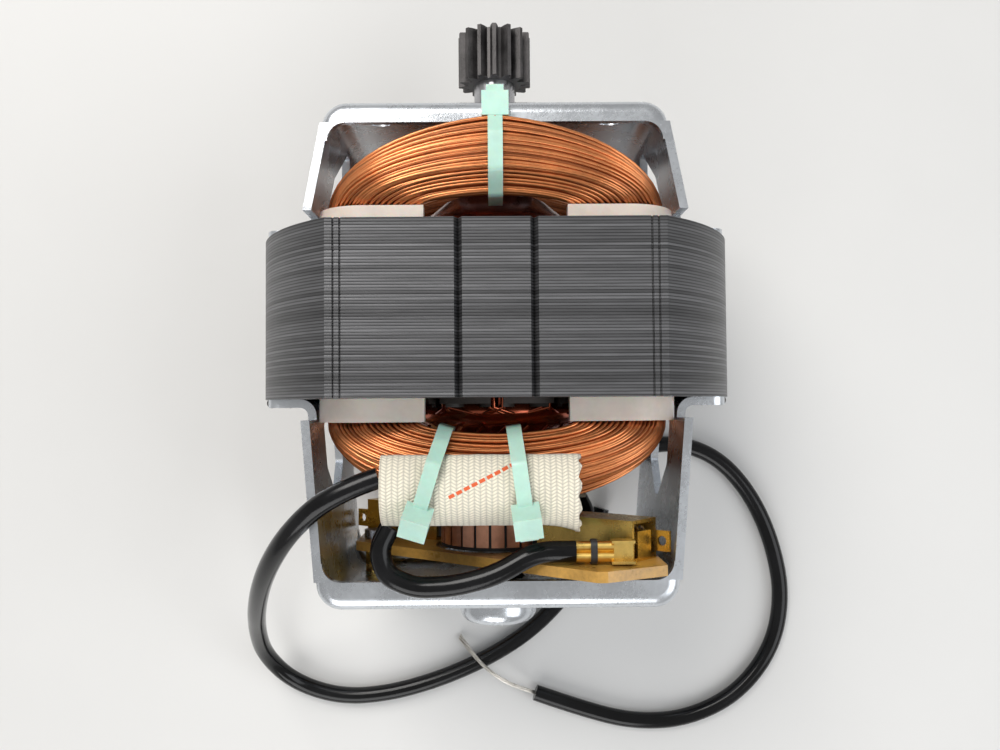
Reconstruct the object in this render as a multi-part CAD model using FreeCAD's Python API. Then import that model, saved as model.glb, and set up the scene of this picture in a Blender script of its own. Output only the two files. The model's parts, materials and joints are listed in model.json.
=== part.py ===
import FreeCAD, Part
import math
import os

# Open-frame commutator motor, modelled in millimetres.
# X runs across, Y along the shaft towards the pinion and Z upwards.
# Pieces are drawn about the shaft's axis and then lifted, so that the stator rests on the floor.

os.makedirs("parts", exist_ok=True)
Vec = FreeCAD.Vector

# Stator stack
core_radius = 44.0
core_half_height = 34.3
core_length = 29.0
bore_radius = 23.2
groove_x = 6.16
groove_width = 1.3
groove_depth = 1.6
stitch_x = 25.65
stitch_spacing = 1.1
stitch_width = 0.35
stitch_depth = 0.5
window_inner_x = 12.3
window_outer_x = 31.8
window_top_z = 24.4
window_corner = 9.0
shoe_thickness = 1.6
horn_gap_half = 11.6

# Slot insulators
liner_play = 0.1
liner_wall = 0.8
collar_out = 4.1

# Armature core, its fibre ends and slot papers
air_gap = 0.5
slot_count = 12
slot_radius = 3.2
slot_centre = 17.2
slot_mouth = 2.2
end_fibre = 1.0
end_fibre_rim = 0.7
paper_play = 0.08
paper_wall = 0.25
paper_out = 1.6
slot_filling_play = 0.1

# Armature winding, its ends drawn as shares of their length and radius
winding_start = 1.8
winding_radius = 19.6
winding_bore = 4.5
drive_winding_length = 8.4
brush_winding_length = 8.6
drive_winding_shares = [(0.0, 1.0), (0.22, 0.96), (0.4, 0.84), (0.75, 0.72), (1.0, 0.6)]
brush_winding_shares = [(0.0, 1.0), (0.16, 0.95), (0.28, 0.8), (0.7, 0.72), (1.0, 0.62)]
flute_radius = 1.3

# Shaft and what is pressed on it
shaft_radius = 4.0
journal_radius = 3.0
press_play = 0.03
running_play = 0.04
end_play = 0.1
washer_thickness = 0.55
drive_washer_radius = 5.0
brush_washer_radius = 4.2
collar_radius = 5.2
shaft_recess = 0.4

# Commutator
bar_count = 24
bar_radius = 11.0
bar_root_radius = 7.3
bar_gap = 0.5
mica_play = 0.03
mica_undercut = 0.35
commutator_end = 42.0
bar_length = 14.8
riser_length = 2.0
riser_radius = 13.0
hub_rim = 0.65
hub_rim_inset = 0.15

# Pinion
tooth_count = 15
pinion_radius = 7.1
pinion_root_radius = 5.2
tooth_foot_width = 1.7
tooth_middle_width = 1.3
tooth_tip_width = 0.7
pinion_face = 9.9
pinion_end = 57.4

# Brackets, bent from sheet
sheet = 1.5
bracket_half_height = 22.5
ear_half_height = 15.5
ear_reach = 41.5
ear_corner = 2.5
ear_bend = 2.2
wall_x_at_core = 33.3
drive_plate_out = 37.5
drive_half_width = 29.8
drive_lip = 4.0
brush_plate_out = 50.9
brush_half_width = 31.2
brush_lip = 5.0
plate_corner = 4.5
lip_bend = 2.4
lip_inner_bend = 0.9
lip_neck = 3.2
window_half_height = 8.8
window_start = 4.2
window_shoulder = 12.5
window_tip = 18.8
window_nose = 1.6
window_rounding = 1.2
weld_radius = 0.95
weld_place = 0.6
weld_height = 8.0
weld_play = 0.02

# Fixing holes in the drive-end plate
mount_hole_x = 21.0
mount_hole_z = 14.0
mount_hole_radius = 2.15

# Drive-end bearing: a cup drawn inwards
drive_cup_bore = 7.1
drive_cup_wall = 1.2
drive_cup_depth = 9.8
drive_seat_hole = 5.6
drive_bush_radius = 7.0
drive_bush_length = 8.4
drive_felt_thickness = 1.1
drive_retainer_hole = 5.0

# Brush-end bearing: a nose drawn outwards
nose_bore = 6.1
nose_wall = 1.3
nose_length = 6.5
nose_rounding = 2.4
brush_bush_radius = 6.0
brush_bush_length = 5.0
brush_felt_thickness = 1.0
brush_felt_hole = 3.4
brush_retainer_hole = 5.2

# Fits and retainers of both bearings
bearing_play = 0.05
retainer_thickness = 0.55
retainer_notches = 6
retainer_notch_radius = 0.5

# Brush plate
gear_angle = 40.0
board_gap = 0.7
board_thickness = 1.8
board_half_width = 14.6
board_hole_radius = 12.0
board_side_x = 28.3
board_top_z = 32.4
board_shoulder_x = 17.6
board_shoulder_z = 26.5
screw_along = 25.4
screw_across = 8.2
screw_head_radius = 2.6
screw_head_height = 1.7
screw_slot_width = 0.7
screw_slot_depth = 0.8
screw_radius = 1.45
screw_grip = 2.6
standoff_radius = 2.4
spigot_radius = 1.8

# Brush holders, brushes and what presses on them
box_wall = 0.6
brush_width = 6.4
brush_depth = 5.6
brush_play = 0.12
box_start = 12.7
box_end = 33.0
brush_length = 14.0
brush_air = 0.3
flange_reach = 5.4
flange_start = 15.5
flange_end = 27.0
first_rivet = 18.0
second_rivet = 24.5
rivet_radius = 1.4
rivet_head = 0.5
rivet_shank = 0.9
tab_length = 3.0
tab_width = 3.6
tab_hole_radius = 0.85
tab_inset = 2.2
tongue_length = 3.9
tongue_width = 3.0
stop_half_width = 2.2
stop_height_share = 0.72
spring_wire = 0.5
spring_radius = 2.1
spring_turns = 5
spring_play = 0.1
pigtail_radius = 0.6

# Crimped receptacles at the ends of the jumpers
barrel_radius = 0.9
barrel_spacing = 1.7
barrel_drop = 40.4
barrel_rise = 1.2
receptacle_wall = 0.45
receptacle_height = 2.8
band_start = 2.4
band_width = 1.1
band_thickness = 0.35

# Field coils: the turns that show, over a plain core, as shares of each end's depth and rise
coil_turns = 13
wire = 0.8
wire_inner_x = 14.0
wire_outer_x = 30.1
wire_top_z = 22.7
wire_corner = 7.3
wire_side = 9.0
drive_coil_inner = 21.1
drive_coil_outer = 32.6
drive_coil_rise = 4.9
brush_coil_inner = 21.0
brush_coil_outer = 33.0
brush_coil_rise = 4.1
core_stations = 6
drive_wires_shares = [(0.0, 0.45), (0.25, 0.85), (0.55, 1.0), (0.815, 0.87), (0.985, 0.64),
                      (1.0, 0.47), (0.93, 0.32), (0.765, 0.3), (0.765, -0.49)]
brush_wires_shares = [(0.0, 0.46), (0.29, 0.85), (0.58, 1.0), (0.83, 0.8), (1.0, 0.27),
                      (0.95, -0.37), (0.87, -0.85)]
slot_core_shares = [(0.025, 0.969), (0.547, 0.969), (0.832, 0.881), (0.957, 0.678),
                    (0.957, 0.529), (0.957, 0.176), (0.801, 0.132), (0.72, 0.361),
                    (0.534, 0.643), (0.286, 0.85)]
drive_core_shares = [(0.034, 0.277), (0.319, 0.723), (0.58, 0.819), (0.899, 0.532),
                     (0.714, 0.457), (0.706, -0.404), (0.63, -0.532), (0.462, -0.574),
                     (0.26, -0.574), (0.076, -0.447)]
brush_core_shares = [(0.042, 0.268), (0.325, 0.659), (0.583, 0.817), (0.825, 0.561),
                     (0.933, 0.171), (0.85, -0.61), (0.783, -0.854), (0.55, -0.902),
                     (0.3, -0.902), (0.083, -0.707)]

# Braided sleeve over the joints, drawn as shares of its depth and height
sleeve_from_x = -19.5
sleeve_to_x = 13.6
sleeve_behind = 2.9
sleeve_over = 3.2
sleeve_near = brush_coil_inner + sleeve_behind
sleeve_far = brush_coil_outer + sleeve_over
sleeve_low = 21.4
sleeve_high = 30.9
sleeve_shares = [(0.0, 0.65), (0.06, 0.83), (0.33, 1.0), (0.67, 0.97), (0.92, 0.69), (1.0, 0.33),
                 (0.97, 0.0), (0.87, 0.02), (0.83, 0.34), (0.63, 0.61), (0.33, 0.67), (0.04, 0.6)]

# Cable ties, each a closed strap with a head and a cut end
strap_width = 2.5
strap_thickness = 0.9
strap_rounding = 1.1
strap_low_z = 17.9
left_strap_low_z = 14.75
strap_play = 0.25
drive_strap_shares = [(0.0, 0.0), (0.0, 0.72), (0.28, 1.0), (0.72, 1.0), (1.0, 0.78)]
drive_strap_drop_share = 0.765
brush_strap_over = 4.6
brush_strap_reach = brush_coil_outer + brush_strap_over
brush_strap_shares = [(0.0, 0.0), (0.0, 0.61), (0.32, 1.0), (0.69, 1.0), (1.0, 0.72), (1.0, 0.25),
                      (0.83, 0.0)]
tie_head_width = 4.6
tie_head_length = 4.2
tie_head_thickness = 4.2
tie_head_share = 0.3
tie_tail_length = 1.5
tie_tail_width = 3.0
tie_tail_thickness = 1.4
left_tie_x = -11.0
left_tie_angle = -17.0
right_tie_x = 3.7
right_tie_angle = 7.5
tie_turn = 27.0

# Leads
lead_radius = 1.8
strand_radius = 0.45
bend_share = 0.45

overrun = 1.0
half_turn = 180.0
full_turn = 360.0

# Routes of the leads, above the floor: the upper supply lead from the sleeve's left end
supply_lead_top_points = [
    (-19.6, -27.6, 63.2), (-27.0, -30.0, 63.6), (-34.6, -36.2, 60.6), (-41.2, -44.6, 51.0),
    (-46.4, -53.6, 36.6), (-50.4, -62.2, 20.6), (-51.8, -70.6, 8.2), (-46.6, -78.2, 2.6),
    (-36.0, -82.0, 1.8), (-24.6, -81.2, 1.8), (-13.0, -78.0, 1.8), (-1.8, -73.2, 1.8),
    (8.0, -67.0, 1.8), (16.0, -58.8, 1.8), (21.4, -49.2, 1.8), (24.0, -39.6, 1.8)]

# The lower supply lead, from the lower sleeve's right end
supply_lead_bottom_points = [
    (19.6, -27.6, 5.4), (26.6, -27.0, 3.6), (34.0, -25.4, 2.0), (42.4, -24.6, 1.8),
    (51.6, -28.4, 1.8), (58.8, -37.0, 1.8), (63.4, -48.0, 1.8), (65.4, -60.0, 1.8),
    (62.8, -72.0, 1.8), (54.6, -82.2, 1.8), (43.0, -87.6, 1.8), (31.0, -88.2, 1.8),
    (19.2, -85.2, 1.8), (8.4, -81.4, 1.8)]

# The bare strands of the lower supply lead, which lie across the upper one
strand_points = [
    (8.3, -81.4, 1.8), (4.6, -79.9, 3.0), (0.8, -77.6, 5.0), (-3.2, -74.6, 5.0),
    (-6.4, -71.6, 2.6), (-8.8, -68.8, 0.6)]

# The jumper from the upper sleeve to the right-hand brush holder, its heights from the shaft's axis
jumper_points = [
    (-18.3, -36.3, 24.6), (-20.1, -39.8, 24.9), (-19.0, -44.2, 25.1), (-14.2, -46.4, 25.1),
    (-7.6, -46.2, 25.2), (-0.6, -44.4, 25.5), (6.4, -40.4, 26.0), (13.0, -40.4, 26.0)]

# Places worked out from the sizes above
core_half = core_length / 2
collar_end = core_half + collar_out
shoe_radius = bore_radius + shoe_thickness
armature_radius = bore_radius - air_gap
board_y = -commutator_end - board_gap
brush_y = board_y + box_wall + brush_play + brush_depth / 2
brush_tip = bar_radius + brush_air
box_side = brush_width / 2 + brush_play + box_wall
rivet_across = box_side + flange_reach / 2
barrel_start_x = jumper_points[-1][0] + press_play
nodes = {}


def keep(name, *solids):
    """Lifts finished solids to their place above the floor and keeps them under one name."""
    raised = Part.Compound(list(solids)) if len(solids) > 1 else solids[0].copy()
    raised.translate(Vec(0, 0, core_half_height))
    nodes[name] = raised


def rod(radius, y_from, y_to, x=0, z=0):
    """A round bar along the shaft's direction."""
    return Part.makeCylinder(radius, y_to - y_from, Vec(x, y_from, z), Vec(0, 1, 0))


def bar_along_x(radius, x_from, x_to, y, z):
    """A round bar across the shaft's direction."""
    return Part.makeCylinder(radius, x_to - x_from, Vec(x_from, y, z), Vec(1, 0, 0))


def ring(outer, inner, y_from, y_to, x=0, z=0):
    """A round tube along the shaft's direction."""
    hole = rod(inner, y_from - overrun, y_to + overrun, x, z)
    return rod(outer, y_from, y_to, x, z).cut(hole)


def slab(x_from, x_to, y_from, y_to, z_from, z_to):
    """A rectangular block between two corners."""
    return Part.makeBox(x_to - x_from, y_to - y_from, z_to - z_from, Vec(x_from, y_from, z_from))


def joined(solids):
    """Several touching solids made into one."""
    whole = solids[0].fuse(solids[1:])
    return whole.removeSplitter().Solids[0]


def turned(shape, degrees):
    """A copy turned about the shaft's axis."""
    copy = shape.copy()
    copy.rotate(Vec(0, 0, 0), Vec(0, 1, 0), degrees)
    return copy


def opposite(shape):
    """The same piece on the far side of the shaft, half a turn round."""
    return turned(shape, half_turn)


def in_gear(shape):
    """Turns a piece drawn with its brush along X to the brush gear's angle."""
    return turned(shape, -gear_angle)


def gear_spot(along, across):
    """The place across the shaft of a point given along and across the brush's axis."""
    angle = math.radians(gear_angle)
    x = along * math.cos(angle) - across * math.sin(angle)
    z = along * math.sin(angle) + across * math.cos(angle)
    return x, z


def mirrored_x(shape):
    """The mirror image across the upright middle plane."""
    return shape.mirror(Vec(0, 0, 0), Vec(1, 0, 0))


def mirrored_y(shape):
    """The mirror image at the other end of the motor."""
    return shape.mirror(Vec(0, 0, 0), Vec(0, 1, 0))


def repeated(shape, count):
    """Copies of a shape, evenly spaced round the shaft."""
    return [turned(shape, full_turn * index / count) for index in range(count)]


def corner_arc(before, corner, after, radius):
    """Start, middle and end of the arc that rounds a corner."""
    arriving = (corner - before).normalize()
    leaving = (after - corner).normalize()
    turn = arriving.getAngle(leaving)
    back = radius * math.tan(turn / 2)
    inward = (leaving - arriving).normalize()
    middle = corner + inward * (radius / math.cos(turn / 2) - radius)
    return corner - arriving * back, middle, corner + leaving * back


def rounded_edges(points, radii, closed=False):
    """Straight runs through the points, joined by tangent arcs of the given radii."""
    count = len(points)
    rounds = {}
    for index, radius in enumerate(radii):
        if radius > 0 and (closed or 0 < index < count - 1):
            after = points[(index + 1) % count]
            rounds[index] = corner_arc(points[index - 1], points[index], after, radius)
    edges = []
    for index in range(count if closed else count - 1):
        following = (index + 1) % count
        start = rounds[index][2] if index in rounds else points[index]
        end = rounds[following][0] if following in rounds else points[following]
        edges.append(Part.LineSegment(start, end).toShape())
        if following in rounds:
            edges.append(Part.Arc(*rounds[following]).toShape())
    return edges


def extruded(points, along, radii=None):
    """A block with a flat outline of points, its corners rounded by the radii."""
    edges = rounded_edges(points, radii or [0] * len(points), closed=True)
    return Part.Face(Part.Wire(edges)).extrude(along)


def prism(outline, y_from, y_to, radii=None):
    """A block whose outline is given across the shaft, as pairs of x and z."""
    return extruded([Vec(x, y_from, z) for x, z in outline], Vec(0, y_to - y_from, 0), radii)


def side_prism(outline, x_from, x_to, radii=None):
    """A block whose outline is seen from the side, as pairs of y and z."""
    return extruded([Vec(x_from, y, z) for y, z in outline], Vec(x_to - x_from, 0, 0), radii)


def headings(points):
    """The direction of each run of an open line."""
    return [(after - before).normalize() for before, after in zip(points, points[1:])]


def beside(points, distance):
    """The open line through points in plan, moved to its left by a distance."""
    runs = headings(points)
    moved = []
    for point, arriving, leaving in zip(points, runs[:1] + runs, runs + runs[-1:]):
        left = Vec(-arriving.y, arriving.x, 0)
        middle = (left + Vec(-leaving.y, leaving.x, 0)).normalize()
        moved.append(point + middle * (distance / middle.dot(left)))
    return moved


def beside_radii(points, radii, distance):
    """The bend radii of that moved line: smaller on the inside of a bend."""
    changed = list(radii)
    runs = headings(points)
    for index in range(1, len(points) - 1):
        side = 1 if runs[index - 1].cross(runs[index]).z > 0 else -1
        changed[index] = radii[index] - side * distance
    return changed


def bent_sheet(points, radii, thickness, low, high):
    """A strip of sheet that follows a line in plan and stands between two heights."""
    half = thickness / 2
    left = beside(points, half)
    right = beside(points, -half)
    edges = rounded_edges(left, beside_radii(points, radii, half))
    edges.append(Part.LineSegment(left[-1], right[-1]).toShape())
    edges += reversed(rounded_edges(right, beside_radii(points, radii, -half)))
    edges.append(Part.LineSegment(right[0], left[0]).toShape())
    strip = Part.Face(Part.Wire(edges)).extrude(Vec(0, 0, high - low))
    strip.translate(Vec(0, 0, low))
    return strip


def arc_by_corner(start, corner, end):
    """The arc between two points whose tangents meet at a corner."""
    chord_middle = (start + end) * 0.5
    height = corner - chord_middle
    half_chord = start.distanceToPoint(end) / 2
    rise = half_chord * math.tan(math.atan2(height.Length, half_chord) / 2)
    return start, chord_middle + height * (rise / height.Length), end


def biarc(start, start_heading, end, end_heading, first=None):
    """Two tangent arcs from one point and heading to another, each as three points."""
    across = end - start
    if first is None:
        square = 2 * (1 - start_heading.dot(end_heading))
        reach = across.dot(start_heading + end_heading)
        first = (math.sqrt(reach * reach + square * across.dot(across)) - reach) / square
        second = first
    else:
        second = across.dot(across) / 2 - first * across.dot(start_heading)
        second /= across.dot(end_heading) + first * (1 - start_heading.dot(end_heading))
    near = start + start_heading * first
    far = end - end_heading * second
    middle = near + (far - near) * (first / (first + second))
    return [arc_by_corner(start, near, middle), arc_by_corner(middle, far, end)]


def arc_edges(arcs):
    """Edges of arcs that are given as three points each."""
    return [Part.Arc(*arc).toShape() for arc in arcs]


def tube(edges, radius, start, heading):
    """A round bar swept along joined edges."""
    profile = Part.Wire([Part.makeCircle(radius, start, heading)])
    return Part.Wire(edges).makePipeShell([profile], True, False)


def neighbours(cells, home):
    """What lies in a cell of space and in the cells round it."""
    found = []
    for x in (-1, 0, 1):
        for y in (-1, 0, 1):
            for z in (-1, 0, 1):
                found += cells.get((home[0] + x, home[1] + y, home[2] + z), [])
    return found


def least_gap(edges, thickness):
    """The least gap of a wound wire to itself, measured on points along it."""
    cell = 3 * thickness
    apart = 4 * thickness
    cells = {}
    travelled = 0
    least = cell
    for edge in edges:
        points = edge.discretize(max(3, int(edge.Length / thickness)))
        step = edge.Length / (len(points) - 1)
        for index, point in enumerate(points[:-1]):
            place = travelled + index * step
            home = (int(point.x // cell), int(point.y // cell), int(point.z // cell))
            for other, other_place in neighbours(cells, home):
                if place - other_place > apart:
                    least = min(least, point.distanceToPoint(other))
            cells.setdefault(home, []).append((point, place))
        travelled += edge.Length
    return round(least - thickness, 2)


def window_block(inset, y_from, y_to):
    """The space of the right-hand slot, with every wall moved in by the inset."""
    corner = window_corner - inset
    top = window_top_z - inset
    inner = window_inner_x + inset
    outer = window_outer_x - inset
    outline = [(inner, -top), (outer, -top), (outer, top), (inner, top)]
    block = prism(outline, y_from, y_to, [0, corner, corner, 0])
    return block.cut(rod(shoe_radius + inset, y_from - overrun, y_to + overrun))


def make_stator_core():
    """The stack of stator sheets with its bore, slots and outer grooves."""
    side = core_radius + overrun
    far = core_half + overrun
    flats = slab(-side, side, -far, far, -core_half_height, core_half_height)
    stack = rod(core_radius, -core_half, core_half).common(flats)
    slot = window_block(0, -far, far)
    gap = slab(0, shoe_radius + overrun, -far, far, -horn_gap_half, horn_gap_half)
    cuts = [rod(bore_radius, -far, far), slot, mirrored_x(slot), gap, mirrored_x(gap)]
    rim = core_half_height + overrun
    half = groove_width / 2
    marks = [prism([(groove_x - half, rim), (groove_x - half, core_half_height),
                    (groove_x, core_half_height - groove_depth),
                    (groove_x + half, core_half_height), (groove_x + half, rim)], -far, far)]
    for middle in (stitch_x - stitch_spacing / 2, stitch_x + stitch_spacing / 2):
        marks.append(slab(middle - stitch_width / 2, middle + stitch_width / 2, -far, far,
                          core_half_height - stitch_depth, rim))
    for mark in marks:
        cuts += [mark, mirrored_x(mark), opposite(mark), opposite(mirrored_x(mark))]
    return stack.cut(cuts).Solids[0]


def make_slot_insulator():
    """The right-hand slot's lining, which stands out of both faces as a collar."""
    outer = window_block(liner_play, -collar_end, collar_end)
    inner = window_block(liner_play + liner_wall, -collar_end - overrun, collar_end + overrun)
    return outer.cut(inner).Solids[0]


def along_line(points, share):
    """The place at a share of the length of a line of points."""
    lengths = [before.distanceToPoint(after) for before, after in zip(points, points[1:])]
    left = share * sum(lengths)
    index = 0
    while left > lengths[index] and index < len(lengths) - 1:
        left -= lengths[index]
        index += 1
    return points[index] + (points[index + 1] - points[index]) * (left / lengths[index])


def coil_end(shares, inner, outer, rise):
    """Points of a coil's end section in the middle plane, from shares of its size."""
    return [Vec(0, inner + along * (outer - inner), wire_top_z + up * rise) for along, up in shares]


def wire_in_slot(share):
    """Where a turn lies in the slot: along the top, round the corner and down the side."""
    corner_x = wire_outer_x - wire_corner
    corner_z = wire_top_z - wire_corner
    top = corner_x - wire_inner_x
    bend = wire_corner * math.pi / 2
    place = share * (top + bend + corner_z - wire_side)
    if place < top:
        return wire_inner_x + place, wire_top_z
    if place < top + bend:
        angle = (place - top) / wire_corner
        return corner_x + wire_corner * math.sin(angle), corner_z + wire_corner * math.cos(angle)
    return wire_outer_x, corner_z - (place - top - bend)


def quarter(slot_x, slot_z, middle, end, leaving):
    """A quarter of a turn between a slot's end and the middle plane, in either direction."""
    side = 1 if slot_x > 0 else -1
    slot = Vec(slot_x, end * collar_end, slot_z)
    centre = Vec(0, end * middle.y, middle.z)
    arcs = biarc(slot, Vec(0, end, 0), centre, Vec(-side, 0, 0), middle.y - collar_end)
    if not leaving:
        arcs = [(last, between, first) for first, between, last in reversed(arcs)]
    return arc_edges(arcs)


def make_turns():
    """The outer layer of turns as one unbroken wire, wound a quarter turn at a time."""
    drive = coil_end(drive_wires_shares, drive_coil_inner, drive_coil_outer, drive_coil_rise)
    brush = coil_end(brush_wires_shares, brush_coil_inner, brush_coil_outer, brush_coil_rise)
    steps = coil_turns - 1
    x, z = wire_in_slot(0)
    start = Vec(x, -collar_end, z)
    edges = []
    for turn in range(steps):
        edges.append(Part.LineSegment(Vec(x, -collar_end, z), Vec(x, collar_end, z)).toShape())
        middle = along_line(drive, (turn + 0.25) / steps)
        edges += quarter(x, z, middle, 1, True)
        x, z = wire_in_slot((turn + 0.5) / steps)
        edges += quarter(-x, z, middle, 1, False)
        edges.append(Part.LineSegment(Vec(-x, collar_end, z), Vec(-x, -collar_end, z)).toShape())
        middle = along_line(brush, (turn + 0.75) / steps)
        edges += quarter(-x, z, middle, -1, True)
        x, z = wire_in_slot((turn + 1) / steps)
        edges += quarter(x, z, middle, -1, False)
    edges.append(Part.LineSegment(Vec(x, -collar_end, z), Vec(x, collar_end, z)).toShape())
    print("least gap of the field turns", least_gap(edges, wire))
    return tube(edges, wire / 2, start, Vec(0, 1, 0))


def make_coil_core():
    """The plain body of a coil below its outer turns."""
    reach = wire_outer_x - wire_inner_x
    slot = [(wire_inner_x + along * reach, up * wire_top_z) for along, up in slot_core_shares]
    right = prism(slot, -collar_end, collar_end)
    pieces = [right, mirrored_x(right)]
    for end, shares, inner, outer, rise in (
            (1, drive_core_shares, drive_coil_inner, drive_coil_outer, drive_coil_rise),
            (-1, brush_core_shares, brush_coil_inner, brush_coil_outer, brush_coil_rise)):
        lines = []
        for (x, z), middle in zip(slot, coil_end(shares, inner, outer, rise)):
            lines.append(Part.Wire(quarter(x, z, middle, end, True)).discretize(core_stations + 1))
        sections = []
        for step in range(core_stations + 1):
            corners = [line[step] for line in lines]
            sections.append(Part.makePolygon(corners + corners[:1]))
        half = Part.makeLoft(sections, True, True)
        pieces += [half, mirrored_x(half)]
    return joined(pieces)


def armature_slots():
    """The cuts of the armature's slots through the stack and its fibre ends."""
    far = core_half + end_fibre + overrun
    hole = rod(slot_radius, -far, far, 0, slot_centre)
    mouth = slab(-slot_mouth / 2, slot_mouth / 2, -far, far, slot_centre, armature_radius + overrun)
    return repeated(hole.fuse(mouth), slot_count)


def make_armature_core():
    """The armature's stack of sheets with its half-closed slots."""
    stack = ring(armature_radius, shaft_radius + press_play, -core_half, core_half)
    return stack.cut(armature_slots()).Solids[0]


def make_end_insulators():
    """The fibre washers on both faces of the armature's stack."""
    disc = ring(armature_radius - end_fibre_rim, shaft_radius + press_play, core_half,
                core_half + end_fibre)
    disc = disc.cut(armature_slots()).Solids[0]
    return [disc, mirrored_y(disc)]


def make_slot_papers():
    """A slit paper tube in each slot, a little longer than the stack."""
    outer = slot_radius - paper_play
    far = core_half + paper_out
    paper = ring(outer, outer - paper_wall, -far, far, 0, slot_centre)
    slit = slab(-slot_mouth / 2, slot_mouth / 2, -far - overrun, far + overrun, slot_centre,
                slot_centre + outer + overrun)
    return repeated(paper.cut(slit).Solids[0], slot_count)


def winding_barrel(length, shares):
    """One end of the armature winding, rounded off towards the shaft and fluted."""
    start = core_half + winding_start
    points = [Vec(winding_bore, start, 0)]
    points += [Vec(winding_radius * up, start + length * along, 0) for along, up in shares]
    points.append(Vec(winding_bore, start + length, 0))
    profile = Part.Face(Part.makePolygon(points + points[:1]))
    barrel = profile.revolve(Vec(0, 0, 0), Vec(0, 1, 0), full_turn)
    flute = rod(flute_radius, start - overrun, start + length + overrun, 0, winding_radius)
    return barrel.cut(repeated(turned(flute, half_turn / slot_count), slot_count))


def make_armature_winding():
    """The armature winding: its sides in the slots and the bundles at both ends."""
    start = core_half + winding_start
    filling = slot_radius - paper_play - paper_wall - slot_filling_play
    side = rod(filling, -start - overrun, start + overrun, 0, slot_centre)
    drive = winding_barrel(drive_winding_length, drive_winding_shares)
    brush = mirrored_y(winding_barrel(brush_winding_length, brush_winding_shares))
    return joined([drive, brush] + repeated(side, slot_count))


def ball_height(radius, hole):
    """How far from a ball's middle a round hole rests on it."""
    return math.sqrt(radius * radius - hole * hole)


# Bearing places along the shaft
drive_floor = drive_plate_out - sheet - drive_cup_depth + drive_cup_wall
drive_ball_y = drive_floor + ball_height(drive_bush_radius, drive_seat_hole) + bearing_play
drive_bush_face = drive_ball_y - drive_bush_length / 2
brush_floor = -(brush_plate_out + nose_length - nose_wall)
brush_bush_end = brush_floor + brush_felt_thickness + bearing_play
brush_ball_y = brush_bush_end + brush_bush_length / 2
brush_bush_face = brush_ball_y + brush_bush_length / 2
shoulder_y = brush_bush_face + 2 * end_play + 2 * washer_thickness


def make_shaft():
    """The shaft, thinner where it runs in the brush-end bush."""
    end = brush_floor + 4 * end_play
    thick = rod(shaft_radius, shoulder_y, pinion_end - shaft_recess)
    return joined([thick, rod(journal_radius, end, shoulder_y + overrun)])


def make_pinion():
    """The pinion: a ring with straight teeth."""
    start = pinion_end - pinion_face
    foot = pinion_root_radius - tooth_foot_width / 4
    middle = (pinion_root_radius + pinion_radius) / 2
    outline = [(-tooth_foot_width / 2, foot), (-tooth_middle_width / 2, middle),
               (-tooth_tip_width / 2, pinion_radius), (tooth_tip_width / 2, pinion_radius),
               (tooth_middle_width / 2, middle), (tooth_foot_width / 2, foot)]
    tooth = prism(outline, start, pinion_end)
    hub = ring(pinion_root_radius, shaft_radius + press_play, start, pinion_end)
    return joined([hub] + repeated(tooth, tooth_count))


def make_bars():
    """The commutator's bars with the raised ends that take the wires."""
    start = -commutator_end
    riser = start + bar_length
    end = riser + riser_length
    body = ring(bar_radius, bar_root_radius, start, riser)
    raised = ring(riser_radius, bar_root_radius, riser, end)
    gap = slab(-bar_gap / 2, bar_gap / 2, start - overrun, end + overrun,
               bar_root_radius - overrun, riser_radius + overrun)
    gaps = repeated(turned(gap, half_turn / bar_count), bar_count)
    return joined([body, raised]).cut(gaps).Solids


def make_hub():
    """The moulded hub with a fin between each two bars and a rim at the end."""
    start = -commutator_end
    end = start + bar_length + riser_length
    bore = shaft_radius + press_play
    core = ring(bar_root_radius - mica_play, bore, start - hub_rim, end)
    rim = ring(bar_radius - hub_rim_inset, bore, start - hub_rim, start - mica_play)
    half = bar_gap / 2 - mica_play
    fin = slab(-half, half, start - hub_rim, end, bore + press_play, bar_radius - mica_undercut)
    return joined([core, rim] + repeated(turned(fin, half_turn / bar_count), bar_count))


def bracket_line(plate_out, half_width):
    """The line of the sheet's middle in plan, from ear to ear round the end plate."""
    middle = sheet / 2
    ear_y = core_half + middle
    plate_x = half_width - middle
    plate_y = plate_out - middle
    return [Vec(-ear_reach, ear_y, 0), Vec(-wall_x_at_core, ear_y, 0), Vec(-plate_x, plate_y, 0),
            Vec(plate_x, plate_y, 0), Vec(wall_x_at_core, ear_y, 0), Vec(ear_reach, ear_y, 0)]


def pan_block(points, corner, half_height, bend, y_from):
    """The rounded block that shapes the outside or the inside of the folded end."""
    corners = [Vec(point.x, point.y, -half_height) for point in points]
    block = extruded(corners, Vec(0, 0, 2 * half_height), [0, corner, corner, 0])
    edges = []
    for edge in block.Edges:
        box = edge.BoundBox
        if box.ZLength < bend / 2 and box.YMax - points[0].y > bend / 2:
            edges.append(edge)
    side = ear_reach + overrun
    rim = half_height + overrun
    return block.makeFillet(bend, edges).common(slab(-side, side, y_from, points[1].y + overrun, -rim, rim))


def make_neck(inner, fold):
    """The curve by which the right-hand upper lip runs into the wall's edge."""
    plate, core = inner[2], inner[3]
    lean = (plate.x - core.x) / (plate.y - core.y)
    wall_x = core.x + lean * (fold - lip_neck / 2 - core.y)
    neck = slab(wall_x - lip_neck, wall_x + sheet / 2, fold - lip_neck, fold,
                bracket_half_height - sheet, bracket_half_height)
    curve = Part.makeCylinder(lip_neck, bracket_half_height + overrun,
                              Vec(wall_x - lip_neck, fold - lip_neck, 0), Vec(0, 0, 1))
    return neck.cut(curve)


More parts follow.
